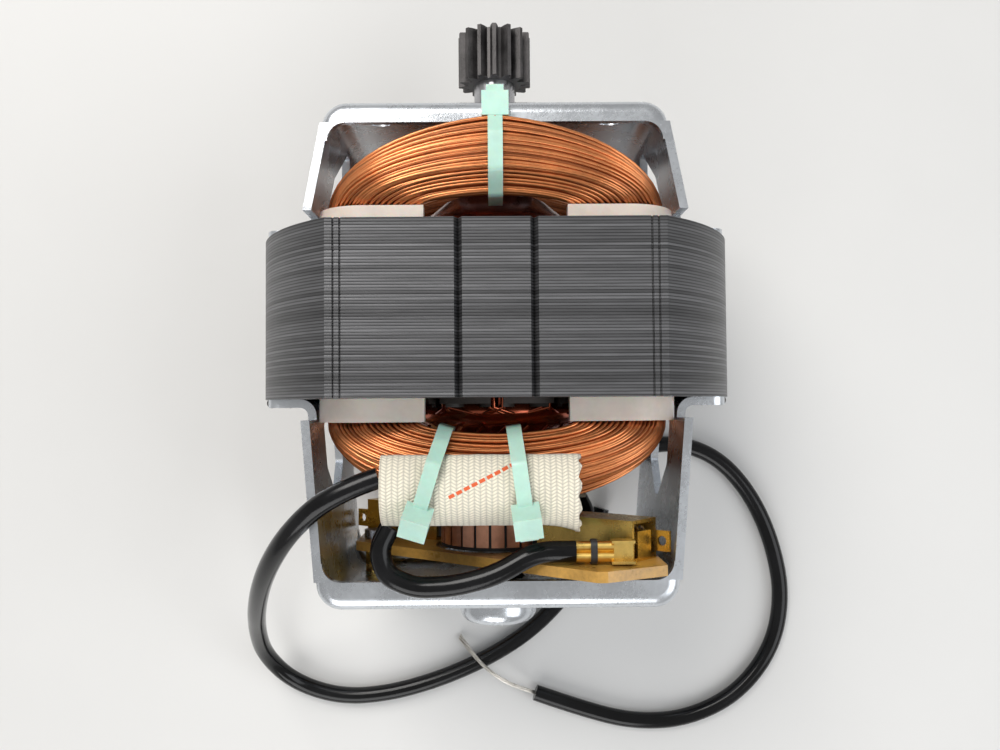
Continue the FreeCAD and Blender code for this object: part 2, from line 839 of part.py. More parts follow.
def make_bracket(plate_out, half_width, lip):
    """A bracket bent from sheet, drawn at the drive end: ears, walls, end plate and lips."""
    line = bracket_line(plate_out, half_width)
    middle = sheet / 2
    bends = [0, ear_bend, plate_corner - middle, plate_corner - middle, ear_bend, 0]
    strip = bent_sheet(line, bends, sheet, -bracket_half_height, bracket_half_height)
    step = core_half + sheet + ear_bend
    fold = plate_out - lip
    side = ear_reach + overrun
    rim = bracket_half_height + overrun
    ear_outline = [(-ear_reach, -ear_half_height), (ear_reach, -ear_half_height),
                   (ear_reach, ear_half_height), (-ear_reach, ear_half_height)]
    ears = strip.common(prism(ear_outline, core_half - overrun, step, [ear_corner] * 4))
    walls = strip.common(slab(-side, side, step, fold, -rim, rim))
    outer = beside(line, middle)[1:5]
    inner = beside(line, -middle)[1:5]
    pan = pan_block(outer, plate_corner, bracket_half_height, lip_bend, fold)
    hollow = pan_block(inner, plate_corner - sheet, bracket_half_height - sheet, lip_inner_bend,
                       fold - lip_neck)
    neck = make_neck(inner, fold)
    pieces = [ears, walls, pan.cut(hollow), neck, mirrored_x(neck), opposite(neck),
              opposite(mirrored_x(neck))]
    near = core_half + window_start
    shoulder = core_half + window_shoulder
    tip = core_half + window_tip
    outline = [(near, -window_half_height), (shoulder, -window_half_height), (tip, -window_nose),
               (tip, window_nose), (shoulder, window_half_height), (near, window_half_height)]
    opening = side_prism(outline, -side, side, [window_rounding] * 6)
    return joined(pieces).cut(opening).Solids[0]


def make_drive_bracket():
    """The drive-end bracket with its bearing cup and fixing holes."""
    inside = drive_plate_out - sheet
    outer = drive_cup_bore + drive_cup_wall
    bottom = inside - drive_cup_depth
    cup = ring(outer, drive_cup_bore, bottom, inside + sheet / 2)
    seat = ring(outer, drive_seat_hole, bottom, drive_floor)
    whole = joined([make_bracket(drive_plate_out, drive_half_width, drive_lip), cup, seat])
    far = drive_plate_out + overrun
    cuts = [rod(drive_cup_bore, drive_floor, far)]
    for x in (-mount_hole_x, mount_hole_x):
        for z in (-mount_hole_z, mount_hole_z):
            cuts.append(rod(mount_hole_radius, inside - overrun, far, x, z))
    return whole.cut(cuts).Solids[0]


def screw_places():
    """Where the two plate screws sit across the shaft."""
    x, z = gear_spot(screw_along, -screw_across)
    return [(x, z), (-x, -z)]


def make_brush_bracket():
    """The brush-end bracket with its closed bearing nose."""
    plate = mirrored_y(make_bracket(brush_plate_out, brush_half_width, brush_lip))
    end = -brush_plate_out - nose_length
    inside = -brush_plate_out + sheet
    nose = rod(nose_bore + nose_wall, end, inside - sheet / 2)
    rims = [edge for edge in nose.Edges if edge.BoundBox.YMax < end + overrun]
    nose = nose.makeFillet(nose_rounding, rims)
    cuts = [rod(nose_bore, brush_floor, inside + overrun)]
    for x, z in screw_places():
        cuts.append(rod(spigot_radius + press_play, -brush_plate_out - overrun, inside + overrun, x, z))
    return joined([plate, nose]).cut(cuts).Solids[0]


def make_welds():
    """Weld beads at the tips of the ears, where they meet the core's faces."""
    face = core_half + weld_play
    tip = ear_reach + weld_play
    reach = core_half + sheet + overrun
    stack = slab(-core_radius, core_radius, -face, face, -core_half_height, core_half_height)
    ears = slab(-tip, tip, -reach, reach, -ear_half_height, ear_half_height)
    beads = []
    for end in (-1, 1):
        for side in (-1, 1):
            for z in (-weld_height, weld_height):
                place = Vec(side * (ear_reach + weld_place), end * (core_half + weld_place), z)
                beads.append(Part.makeSphere(weld_radius, place).cut(stack).cut(ears).Solids[0])
    return beads


def make_bush(radius, length, middle, bore):
    """A self-aligning bush: a ball with flat ends and a bore."""
    ball = Part.makeSphere(radius, Vec(0, middle, 0))
    return ball.common(ring(radius + overrun, bore, middle - length / 2, middle + length / 2)).Solids[0]


def make_drive_felt():
    """The felt ring in the corner between the drive-end cup and its ball."""
    end = drive_floor + drive_felt_thickness
    inner = ball_height(drive_bush_radius, drive_ball_y - end) + bearing_play
    return ring(drive_cup_bore - bearing_play, inner, drive_floor, end)


def make_retainer(cup_bore, hole, ball_radius, ball_y):
    """A spring washer with notches round its inner edge, which holds a ball in its cup."""
    start = ball_y + ball_height(ball_radius, hole) + bearing_play
    end = start + retainer_thickness
    washer = ring(cup_bore - press_play, hole, start, end)
    notch = rod(retainer_notch_radius, start - overrun, end + overrun, 0, hole)
    return washer.cut(repeated(notch, retainer_notches)).Solids[0]


def make_washers():
    """Two thrust washers at each bearing, between the bush and the shoulder or collar."""
    washers = []
    for index in range(2):
        end = drive_bush_face - end_play - index * washer_thickness
        washers.append(ring(drive_washer_radius, shaft_radius + press_play, end - washer_thickness, end))
        start = brush_bush_face + end_play + index * washer_thickness
        washers.append(ring(brush_washer_radius, journal_radius + press_play, start, start + washer_thickness))
    return washers


def make_thrust_collar():
    """The collar pressed on the shaft behind the drive-end washers."""
    end = drive_bush_face - end_play - 2 * washer_thickness
    start = core_half + winding_start + drive_winding_length
    return ring(collar_radius, shaft_radius + press_play, start, end)


def make_board():
    """The brush plate: a slanted strip of board, cut to fit between the walls."""
    angle = math.radians(gear_angle)
    low = (board_side_x * math.sin(angle) - board_half_width) / math.cos(angle)
    top_x = (board_top_z * math.cos(angle) - board_half_width) / math.sin(angle)
    half = [(board_side_x, low), (board_side_x, board_shoulder_z), (board_shoulder_x, board_top_z),
            (top_x, board_top_z)]
    back = board_y - board_thickness
    board = prism(half + [(-x, -z) for x, z in half], back, board_y)
    far = board_y + overrun
    cuts = [rod(board_hole_radius, back - overrun, far)]
    for x, z in screw_places():
        cuts.append(rod(screw_radius + press_play, back - overrun, far, x, z))
    for along in (first_rivet, second_rivet):
        hole = in_gear(rod(rivet_shank + press_play, back - overrun, far, along, rivet_across))
        cuts += [hole, opposite(hole)]
    return board.cut(cuts).Solids[0]


def make_tongue():
    """The flat terminal that the receptacle is pushed on, level with the box's outer corner."""
    x, z = gear_spot(box_end, box_side)
    foot = gear_spot(box_end - box_wall, box_side - box_wall / 2)
    outline = [(x - tongue_length, z), (x - tongue_length, z + box_wall), (x, z + box_wall), (x, z),
               foot, (x - 2 * box_wall, z)]
    return prism(outline, -barrel_drop - tongue_width / 2, -barrel_drop + tongue_width / 2)


def make_holder():
    """A brush box with its fixing flange, solder tab, terminal tongue and end stop."""
    half = brush_depth / 2 + brush_play
    low = brush_y - half - box_wall
    high = brush_y + half + box_wall
    outer = slab(box_start, box_end, low, high, -box_side, box_side)
    inner = slab(box_start - overrun, box_end + overrun, low + box_wall, high - box_wall,
                 -box_side + box_wall, box_side - box_wall)
    flange = slab(flange_start, flange_end, low, low + box_wall, box_side - box_wall, box_side + flange_reach)
    stop = slab(box_end - box_wall, box_end, low, low + stop_height_share * (high - low),
                -stop_half_width, stop_half_width)
    tab_high = high - tab_inset
    tab = slab(box_end - box_wall, box_end + tab_length, tab_high - tab_width, tab_high,
               -box_side, -box_side + box_wall)
    hole = Part.makeCylinder(tab_hole_radius, box_side,
                             Vec(box_end + tab_length / 2, tab_high - tab_width / 2, -box_side - overrun))
    body = in_gear(joined([outer.cut(inner), flange, stop, tab.cut(hole)]))
    body = joined([body, make_tongue()])
    cuts = []
    for along in (first_rivet, second_rivet):
        cuts.append(in_gear(rod(rivet_shank + press_play, low - overrun, low + box_wall + overrun,
                                along, rivet_across)))
    return body.cut(cuts).Solids[0]


def make_rivets():
    """The four rivets that hold the brush boxes to the plate."""
    rivets = []
    top = board_y + box_wall
    bottom = board_y - board_thickness
    for along in (first_rivet, second_rivet):
        head = rod(rivet_radius, top, top + rivet_head, along, rivet_across)
        shank = rod(rivet_shank, bottom - rivet_head, top + rivet_head, along, rivet_across)
        tail = rod(rivet_radius, bottom - rivet_head, bottom, along, rivet_across)
        rivet = in_gear(joined([head, shank, tail]))
        rivets += [rivet, opposite(rivet)]
    return rivets


def make_screws():
    """The two screws of the brush plate, with slotted round heads."""
    screws = []
    top = board_y + screw_head_height
    for x, z in screw_places():
        head = rod(screw_head_radius, board_y, top, x, z)
        slot = slab(x - screw_head_radius, x + screw_head_radius, top - screw_slot_depth, top + overrun,
                    z - screw_slot_width / 2, z + screw_slot_width / 2)
        shank = rod(screw_radius, board_y - board_thickness - screw_grip, top - screw_slot_depth, x, z)
        screws.append(joined([head.cut(slot), shank]))
    return screws


def make_standoffs():
    """The spacers between the brush plate and the end plate, each with a riveted spigot."""
    standoffs = []
    top = board_y - board_thickness
    seat = -brush_plate_out + sheet
    for x, z in screw_places():
        body = rod(standoff_radius, seat, top, x, z)
        spigot = rod(spigot_radius, -brush_plate_out, top, x, z)
        hole = rod(screw_radius + press_play, top - screw_grip - bearing_play, top + overrun, x, z)
        standoffs.append(joined([body, spigot]).cut(hole).Solids[0])
    return standoffs


def make_brush():
    """A carbon brush, drawn along X, with its tip hollowed to the commutator."""
    half = brush_depth / 2
    block = slab(bar_radius, brush_tip + brush_length, brush_y - half, brush_y + half,
                 -brush_width / 2, brush_width / 2)
    return block.cut(rod(brush_tip, brush_y - brush_depth, brush_y + brush_depth)).Solids[0]


def make_spring():
    """The spring behind a brush, drawn along X as one unbroken wire."""
    start = brush_tip + brush_length + spring_play + spring_wire / 2
    end = box_end - box_wall - spring_play - spring_wire / 2
    steps = 4 * spring_turns
    step_length = (end - start) / steps
    rise = 2 * step_length / math.pi
    places = []
    for step in range(steps + 1):
        across = spring_radius * math.cos(step * math.pi / 2)
        up = spring_radius * math.sin(step * math.pi / 2)
        places.append((Vec(start + step * step_length, brush_y + across, up),
                       Vec(rise, -up, across).normalize()))
    edges = []
    for (place, heading), (following, next_heading) in zip(places, places[1:]):
        edges += arc_edges(biarc(place, heading, following, next_heading))
    print("least gap of a spring", least_gap(edges, spring_wire))
    return tube(edges, spring_wire / 2, *places[0])


def make_pigtail():
    """The flexible lead inside the spring, drawn along X."""
    start = brush_tip + brush_length + spring_play
    return bar_along_x(pigtail_radius, start, box_end - box_wall - spring_play, brush_y, 0)


def make_receptacle():
    """The crimped receptacle: two rolled barrels in front of an open channel."""
    x, z = gear_spot(box_end, box_side)
    base = z + box_wall + press_play
    barrel_z = base + barrel_rise
    channel = x - tongue_length
    half = tongue_width / 2
    body = slab(channel, x, -barrel_drop - half - receptacle_wall, -barrel_drop + half + receptacle_wall,
                base, base + receptacle_height)
    inside = slab(channel - overrun, x + overrun, -barrel_drop - half, -barrel_drop + half,
                  base + receptacle_wall, base + receptacle_height + overrun)
    neck = slab(channel - receptacle_wall, channel + receptacle_wall, -barrel_drop - half,
                -barrel_drop + half, base, barrel_z)
    pieces = [body.cut(inside), neck]
    for side in (-1, 1):
        pieces.append(bar_along_x(barrel_radius, barrel_start_x, channel + receptacle_wall,
                                  -barrel_drop + side * barrel_spacing / 2, barrel_z))
    return joined(pieces)


def barrels_outline(radius, start, end, height):
    """A block with the outline of both barrels laid side by side."""
    half = barrel_spacing / 2
    rounds = [slab(start, end, -barrel_drop - half, -barrel_drop + half, height - radius, height + radius)]
    for side in (-1, 1):
        rounds.append(bar_along_x(radius, start, end, -barrel_drop + side * half, height))
    return joined(rounds)


def make_band():
    """The black band round both barrels."""
    height = gear_spot(box_end, box_side)[1] + box_wall + press_play + barrel_rise
    start = barrel_start_x + band_start
    end = start + band_width
    inner = barrel_radius + press_play
    band = barrels_outline(inner + band_thickness, start, end, height)
    return band.cut(barrels_outline(inner, start - overrun, end + overrun, height)).Solids[0]


def make_sleeve():
    """The flattened sleeve that lies over the brush end of the upper coil."""
    outline = []
    for along, up in sleeve_shares:
        y = -(sleeve_near + along * (sleeve_far - sleeve_near))
        outline.append((y, sleeve_low + up * (sleeve_high - sleeve_low)))
    return side_prism(outline, sleeve_from_x, sleeve_to_x)


def make_strap(points):
    """A closed strap of constant thickness round a line of y and z, centred on x = 0."""
    line = [Vec(-strap_width / 2, y, z) for y, z in points]
    middle = Part.Wire(rounded_edges(line, [strap_rounding] * len(line), closed=True))
    bands = []
    for distance in (strap_thickness / 2, -strap_thickness / 2):
        bands.append(Part.Face(middle.makeOffset2D(distance)).extrude(Vec(strap_width, 0, 0)))
    bands.sort(key=lambda band: band.Volume)
    return bands[1].cut(bands[0])


def make_head():
    """A tie's head and cut tail, drawn on a strap that runs along Y."""
    half = tie_head_length / 2
    low = -strap_thickness / 2
    head = slab(-tie_head_width / 2, tie_head_width / 2, -half, half, low, low + tie_head_thickness)
    tail_low = low + (tie_head_thickness - tie_tail_thickness) / 2
    tail = slab(-tie_tail_width / 2, tie_tail_width / 2, 0, half + tie_tail_length, tail_low,
                tail_low + tie_tail_thickness)
    return joined([head, tail])


def make_drive_tie():
    """The tie round the drive end of the upper coil."""
    clear = wire / 2 + strap_play + strap_thickness / 2
    inner = drive_coil_inner - clear
    outer = drive_coil_outer + clear
    top = wire_top_z + drive_coil_rise + clear
    shelf = bracket_half_height + strap_play + strap_thickness / 2
    drop = drive_coil_inner + drive_strap_drop_share * (drive_coil_outer - drive_coil_inner) + clear
    line = [(inner + along * (outer - inner), strap_low_z + up * (top - strap_low_z))
            for along, up in drive_strap_shares]
    strap = make_strap(line + [(outer, shelf), (drop, shelf), (drop, strap_low_z)])
    head = make_head()
    head.translate(Vec(0, outer + (tie_head_length - strap_thickness) / 2, shelf + strap_play))
    return joined([strap, head])


def make_brush_tie(x, turn_angle, low_z):
    """A tie round the sleeve and the brush end of the upper coil, turned a little in plan."""
    clear = strap_play + strap_thickness / 2
    inner = brush_coil_inner - wire / 2 - clear - strap_play
    top = sleeve_high + clear
    stretch = math.cos(math.radians(turn_angle))
    line = []
    for along, up in brush_strap_shares:
        reach = inner + along * (brush_strap_reach - inner)
        line.append((-tie_turn - (reach - tie_turn) / stretch, low_z + up * (top - low_z)))
    start = line[3]
    end = line[4]
    head = mirrored_y(make_head())
    slope = math.degrees(math.atan2(start[1] - end[1], start[0] - end[0]))
    head.rotate(Vec(0, 0, 0), Vec(1, 0, 0), slope)
    head.translate(Vec(0, start[0] + tie_head_share * (end[0] - start[0]),
                       start[1] + tie_head_share * (end[1] - start[1])))
    tie = joined([make_strap(line), head])
    tie.rotate(Vec(0, -tie_turn, 0), Vec(0, 0, 1), turn_angle)
    tie.translate(Vec(x, 0, 0))
    return tie


def make_cord(name, points, radius):
    """A cord along straight runs joined by tangent arcs, as large as its runs allow."""
    line = [Vec(*point) for point in points]
    radii = [0] * len(line)
    for index in range(1, len(line) - 1):
        arriving = line[index] - line[index - 1]
        leaving = line[index + 1] - line[index]
        shorter = min(arriving.Length, leaving.Length)
        radii[index] = bend_share * shorter / math.tan(arriving.getAngle(leaving) / 2)
    edges = rounded_edges(line, radii)
    cord = tube(edges, radius, line[0], line[1] - line[0])
    length = sum(edge.Length for edge in edges)
    expected = math.pi * radius * radius * length
    print(name, "length", round(length, 1), "volume share", round(cord.Volume / expected, 4),
          "radii", [round(value, 1) for value in radii[1:-1]])
    return cord


def make_stator():
    """The standing pieces round the armature."""
    insulator = make_slot_insulator()
    coil = make_coil_core()
    turns = make_turns()
    keep("stator_core", make_stator_core())
    keep("slot_insulator_right", insulator)
    keep("slot_insulator_left", mirrored_x(insulator))
    keep("field_coil_top", coil)
    keep("field_coil_bottom", opposite(coil))
    keep("field_winding_top", turns)
    keep("field_winding_bottom", opposite(turns))
    keep("drive_end_bracket", make_drive_bracket())
    keep("brush_end_bracket", make_brush_bracket())
    keep("bracket_welds", *make_welds())


def make_bearings():
    """Both bushes with their felt rings and retainers."""
    keep("drive_end_bush", make_bush(drive_bush_radius, drive_bush_length, drive_ball_y,
                                     shaft_radius + running_play))
    keep("drive_end_felt", make_drive_felt())
    keep("drive_end_retainer", make_retainer(drive_cup_bore, drive_retainer_hole, drive_bush_radius,
                                             drive_ball_y))
    keep("brush_end_bush", make_bush(brush_bush_radius, brush_bush_length, brush_ball_y,
                                     journal_radius + running_play))
    keep("brush_end_felt", ring(nose_bore - bearing_play, brush_felt_hole, brush_floor,
                                brush_floor + brush_felt_thickness))
    keep("brush_end_retainer", make_retainer(nose_bore, brush_retainer_hole, brush_bush_radius,
                                             brush_ball_y))


def make_armature():
    """The turning pieces."""
    keep("shaft", make_shaft())
    keep("pinion", make_pinion())
    keep("armature_core", make_armature_core())
    keep("end_insulators", *make_end_insulators())
    keep("slot_papers", *make_slot_papers())
    keep("armature_winding", make_armature_winding())
    keep("commutator_bars", *make_bars())
    keep("commutator_hub", make_hub())
    keep("thrust_washers", *make_washers())
    keep("thrust_collar", make_thrust_collar())


def make_brush_gear():
    """The brush plate and what it carries."""
    keep("brush_plate", make_board())
    keep("plate_screws", *make_screws())
    keep("plate_standoffs", *make_standoffs())
    keep("holder_rivets", *make_rivets())
    band = make_band()
    keep("crimp_bands", band, opposite(band))
    for name, piece in (("brush_holder", make_holder()), ("brush", in_gear(make_brush())),
                        ("brush_spring", in_gear(make_spring())), ("brush_pigtail", in_gear(make_pigtail())),
                        ("receptacle", make_receptacle())):
        keep(name + "_right", piece)
        keep(name + "_left", opposite(piece))


def make_wrapping():
    """The sleeves and cable ties of both coils."""
    for name, piece in (("sleeve", make_sleeve()), ("drive_tie", make_drive_tie()),
                        ("left_tie", make_brush_tie(left_tie_x, left_tie_angle, left_strap_low_z)),
                        ("right_tie", make_brush_tie(right_tie_x, right_tie_angle, strap_low_z))):
        keep(name + "_top", piece)
        keep(name + "_bottom", opposite(piece))


def make_leads():
    """The supply leads, whose routes are given above the floor, and the jumpers."""
    nodes["supply_lead_top"] = make_cord("upper supply lead", supply_lead_top_points, lead_radius)
    nodes["supply_lead_bottom"] = make_cord("lower supply lead", supply_lead_bottom_points, lead_radius)
    nodes["bare_strands"] = make_cord("bare strands", strand_points, strand_radius)
    jumper = make_cord("jumper", jumper_points, lead_radius)
    keep("jumper_right", jumper)
    keep("jumper_left", opposite(jumper))


make_stator()
make_bearings()
make_armature()
make_brush_gear()
make_wrapping()
make_leads()
for name, shape in nodes.items():
    shape.exportStep("parts/" + name + ".step")
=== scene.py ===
import json
import math
import random

import bpy
from mathutils import Matrix, Vector


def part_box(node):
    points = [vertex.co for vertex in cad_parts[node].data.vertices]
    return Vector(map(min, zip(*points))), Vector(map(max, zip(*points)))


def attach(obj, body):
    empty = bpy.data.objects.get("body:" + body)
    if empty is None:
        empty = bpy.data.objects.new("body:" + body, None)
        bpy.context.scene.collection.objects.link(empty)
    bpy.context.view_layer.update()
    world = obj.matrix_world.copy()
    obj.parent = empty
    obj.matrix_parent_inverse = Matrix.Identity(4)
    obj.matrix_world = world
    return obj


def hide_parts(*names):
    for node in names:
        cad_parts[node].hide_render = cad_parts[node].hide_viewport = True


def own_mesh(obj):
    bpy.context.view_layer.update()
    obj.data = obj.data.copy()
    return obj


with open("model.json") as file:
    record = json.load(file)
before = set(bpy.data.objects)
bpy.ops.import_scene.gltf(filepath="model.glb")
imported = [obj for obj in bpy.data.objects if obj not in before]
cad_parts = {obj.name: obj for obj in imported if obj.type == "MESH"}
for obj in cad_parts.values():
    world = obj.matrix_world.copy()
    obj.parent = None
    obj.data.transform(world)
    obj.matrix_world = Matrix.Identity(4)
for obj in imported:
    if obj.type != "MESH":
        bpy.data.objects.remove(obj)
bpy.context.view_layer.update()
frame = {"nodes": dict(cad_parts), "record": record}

bl_info = {
    "name": "Open-frame motor",
    "version": (1, 0, 0),
    "blender": (4, 5, 0),
    "location": "View3D > Sidebar > Motor",
    "description": "Wound coils, sleeves, leads and finishes of an open-frame commutator motor",
    "category": "Object",
}

AXIS_Z = 0.0343
MM = 0.001

# Route points of the leads, in metres above the floor
UPPER_LEAD = [
    (-0.0196, -0.0276, 0.0632), (-0.0270, -0.0300, 0.0636), (-0.0346, -0.0362, 0.0606),
    (-0.0412, -0.0446, 0.0510), (-0.0464, -0.0536, 0.0366), (-0.0504, -0.0622, 0.0206),
    (-0.0518, -0.0706, 0.0082), (-0.0466, -0.0782, 0.0026), (-0.0360, -0.0820, 0.0018),
    (-0.0246, -0.0812, 0.0018), (-0.0130, -0.0780, 0.0018), (-0.0018, -0.0732, 0.0018),
    (0.0080, -0.0670, 0.0018), (0.0160, -0.0588, 0.0018), (0.0214, -0.0492, 0.0018),
    (0.0240, -0.0396, 0.0018)]
LOWER_LEAD = [
    (0.0196, -0.0276, 0.0054), (0.0266, -0.0270, 0.0036), (0.0340, -0.0254, 0.0020),
    (0.0424, -0.0246, 0.0018), (0.0516, -0.0284, 0.0018), (0.0588, -0.0370, 0.0018),
    (0.0634, -0.0480, 0.0018), (0.0654, -0.0600, 0.0018), (0.0628, -0.0720, 0.0018),
    (0.0546, -0.0822, 0.0018), (0.0430, -0.0876, 0.0018), (0.0310, -0.0882, 0.0018),
    (0.0192, -0.0852, 0.0018), (0.0084, -0.0814, 0.0018)]
STRANDS = [
    (0.0083, -0.0814, 0.0018), (0.0046, -0.0799, 0.0030), (0.0008, -0.0776, 0.0050),
    (-0.0032, -0.0746, 0.0050), (-0.0064, -0.0716, 0.0026), (-0.0088, -0.0688, 0.0006)]

# Matched corners of a coil's section, in millimetres: across and up in the slot, and along and
# up at both ends in the middle plane
SLOT_RING = [(14.4, 22.0), (22.8, 22.0), (27.4, 20.0), (29.4, 15.4), (29.4, 12.0), (29.4, 4.0),
             (26.9, 3.0), (25.6, 8.2), (22.6, 14.6), (18.6, 19.3)]
DRIVE_RING = [(21.5, 24.1), (24.8, 26.2), (28.4, 27.2), (32.4, 26.6), (32.6, 24.6), (29.4, 21.5),
              (28.3, 20.1), (26.4, 19.9), (24.1, 19.9), (22.0, 20.5)]
BRUSH_RING = [(21.5, 23.8), (24.9, 25.4), (28.0, 26.0), (30.9, 25.0), (32.2, 23.4), (31.2, 20.2),
              (30.4, 19.2), (27.6, 19.0), (24.6, 19.0), (22.0, 19.8)]
SLOT_END = 18.6

# Windings of the armature
SLOT_COUNT = 12
SLOT_STRANDS = 7
BAR_COUNT = 24

# Tracer thread of the sleeve, in metres in plan: its start, direction, length, dash and half width
TRACER_START = (-0.0080, -0.0308)
TRACER_RUN = (0.894, 0.447)
TRACER_LENGTH = 0.0118
TRACER_PITCH = 0.0014
TRACER_HALF_WIDTH = 0.0003

# Run of a sleeve across the motor, in millimetres, and the places where its ties pinch it
SLEEVE_START = -19.4
SLEEVE_LENGTH = 32.9
SLEEVE_TOP = 30.9
SLEEVE_STATIONS = 66
HEM_STATIONS = 9
TIE_PLACES = (-11.6, 3.6)

# Section of a sleeve, in millimetres along the shaft and up from its axis
SLEEVE_RING = [(-23.9, 27.6), (-24.6, 29.3), (-28.0, 30.9), (-32.1, 30.6), (-35.2, 28.0),
               (-36.2, 24.5), (-35.8, 21.4), (-34.6, 21.6), (-34.1, 24.6), (-31.7, 27.2),
               (-28.0, 27.8), (-24.4, 27.1)]


def colour_property(name, description, default):
    """A colour that a user may change."""
    return bpy.props.FloatVectorProperty(name=name, description=description, default=default,
                                         subtype="COLOR", size=3, min=0.0, max=1.0)


def length_property(name, description, default):
    """A length that a user may change."""
    return bpy.props.FloatProperty(name=name, description=description, default=default,
                                   min=0.0, unit="LENGTH", precision=5)


class MotorSizes(bpy.types.PropertyGroup):
    """Lengths of the detail that is added to the frame."""
    field_wire: length_property("Field wire", "Thickness of the field coils' wire", 0.00066)
    armature_wire: length_property("Armature wire", "Thickness of the armature's wire", 0.0007)
    sheet_pitch: length_property("Sheet pitch", "Thickness of one sheet of the cores", 0.000509)
    braid_pitch: length_property("Braid pitch", "Width of one column of the sleeve's braid", 0.00096)
    lead: length_property("Lead", "Diameter of the leads over their insulation", 0.0036)
    upper_lead: length_property("Upper lead", "Length of the upper supply lead", 0.180)
    lower_lead: length_property("Lower lead", "Length of the lower supply lead", 0.140)


class MotorColours(bpy.types.PropertyGroup):
    """Main colours of the finishes."""
    copper: colour_property("Copper", "Enamelled copper of the field coils", (0.72, 0.26, 0.09))
    copper_dark: colour_property("Dark copper", "Shaded copper between strands", (0.20, 0.05, 0.016))
    enamel: colour_property("Armature enamel", "Enamel of the armature's wire", (0.30, 0.045, 0.02))
    zinc: colour_property("Zinc", "Plating of the brackets", (0.63, 0.66, 0.70))
    lamination: colour_property("Sheets", "Edges of the stator's sheets", (0.098, 0.098, 0.102))
    gunmetal: colour_property("Gunmetal", "Sintered steel of the pinion", (0.10, 0.095, 0.095))
    brass: colour_property("Brass", "Brush holders and receptacles", (0.84, 0.58, 0.17))
    phenolic: colour_property("Phenolic", "Brush plate", (0.44, 0.24, 0.05))
    liner: colour_property("Liner", "Nylon of the slot insulators", (0.74, 0.64, 0.56))
    tie: colour_property("Cable tie", "Nylon of the cable ties", (0.47, 0.71, 0.60))
    sleeve: colour_property("Sleeve", "Glass braid of the sleeves", (0.88, 0.81, 0.66))
    tracer: colour_property("Tracer", "Coloured thread in the braid", (0.75, 0.12, 0.03))
    pvc: colour_property("Insulation", "Insulation of the leads", (0.004, 0.004, 0.0045))
    floor: colour_property("Floor", "The floor under the motor", (0.66, 0.65, 0.63))


# Node helpers

def put(tree, kind, inputs=None, **settings):
    """Adds a node, sets its properties and gives its inputs values or links."""
    made = tree.nodes.new(kind)
    for key, value in settings.items():
        setattr(made, key, value)
    for key, value in (inputs or {}).items():
        if isinstance(value, bpy.types.NodeSocket):
            tree.links.new(value, made.inputs[key])
        else:
            made.inputs[key].default_value = value
    return made


def calc(tree, operation, a, b=0.0, c=0.0):
    """The output of a math node."""
    return put(tree, "ShaderNodeMath", {0: a, 1: b, 2: c}, operation=operation).outputs[0]


def blend_colour(tree, factor, a, b, kind="MIX"):
    """The output of a colour mix."""
    node = put(tree, "ShaderNodeMix", {0: factor, 6: a, 7: b}, data_type="RGBA", blend_type=kind)
    return node.outputs[2]


def rgba(colour):
    """A colour with full alpha."""
    return (*colour, 1.0)


def new_group(name, inputs, outputs):
    """An empty shader group with the named sockets, as (tree, inputs, outputs)."""
    tree = bpy.data.node_groups.new(name, "ShaderNodeTree")
    for label, kind in inputs:
        tree.interface.new_socket(name=label, in_out="INPUT", socket_type=kind)
    for label, kind in outputs:
        tree.interface.new_socket(name=label, in_out="OUTPUT", socket_type=kind)
    return tree, tree.nodes.new("NodeGroupInput").outputs, tree.nodes.new("NodeGroupOutput").inputs


def grain_group():
    """Two-scale mottling: a colour between two, and a height."""
    tree, given, out = new_group("Grain", [
        ("Scale", "NodeSocketFloat"), ("First", "NodeSocketColor"), ("Second", "NodeSocketColor")],
        [("Colour", "NodeSocketColor"), ("Height", "NodeSocketFloat"), ("Mask", "NodeSocketFloat")])
    place = put(tree, "ShaderNodeTexCoord").outputs["Object"]
    fine = put(tree, "ShaderNodeTexNoise", {"Vector": place, "Scale": given["Scale"], "Detail": 5.0,
                                            "Roughness": 0.6}).outputs[0]
    broad_scale = calc(tree, "MULTIPLY", given["Scale"], 0.09)
    broad = put(tree, "ShaderNodeTexNoise", {"Vector": place, "Scale": broad_scale,
                                             "Detail": 2.0}).outputs[0]
    mask = calc(tree, "MULTIPLY_ADD", broad, 0.65, calc(tree, "MULTIPLY", fine, 0.35))
    spread = put(tree, "ShaderNodeMapRange", {0: mask, 1: 0.36, 2: 0.64}).outputs[0]
    tree.links.new(blend_colour(tree, spread, given["First"], given["Second"]), out["Colour"])
    tree.links.new(fine, out["Height"])
    tree.links.new(spread, out["Mask"])
    return tree


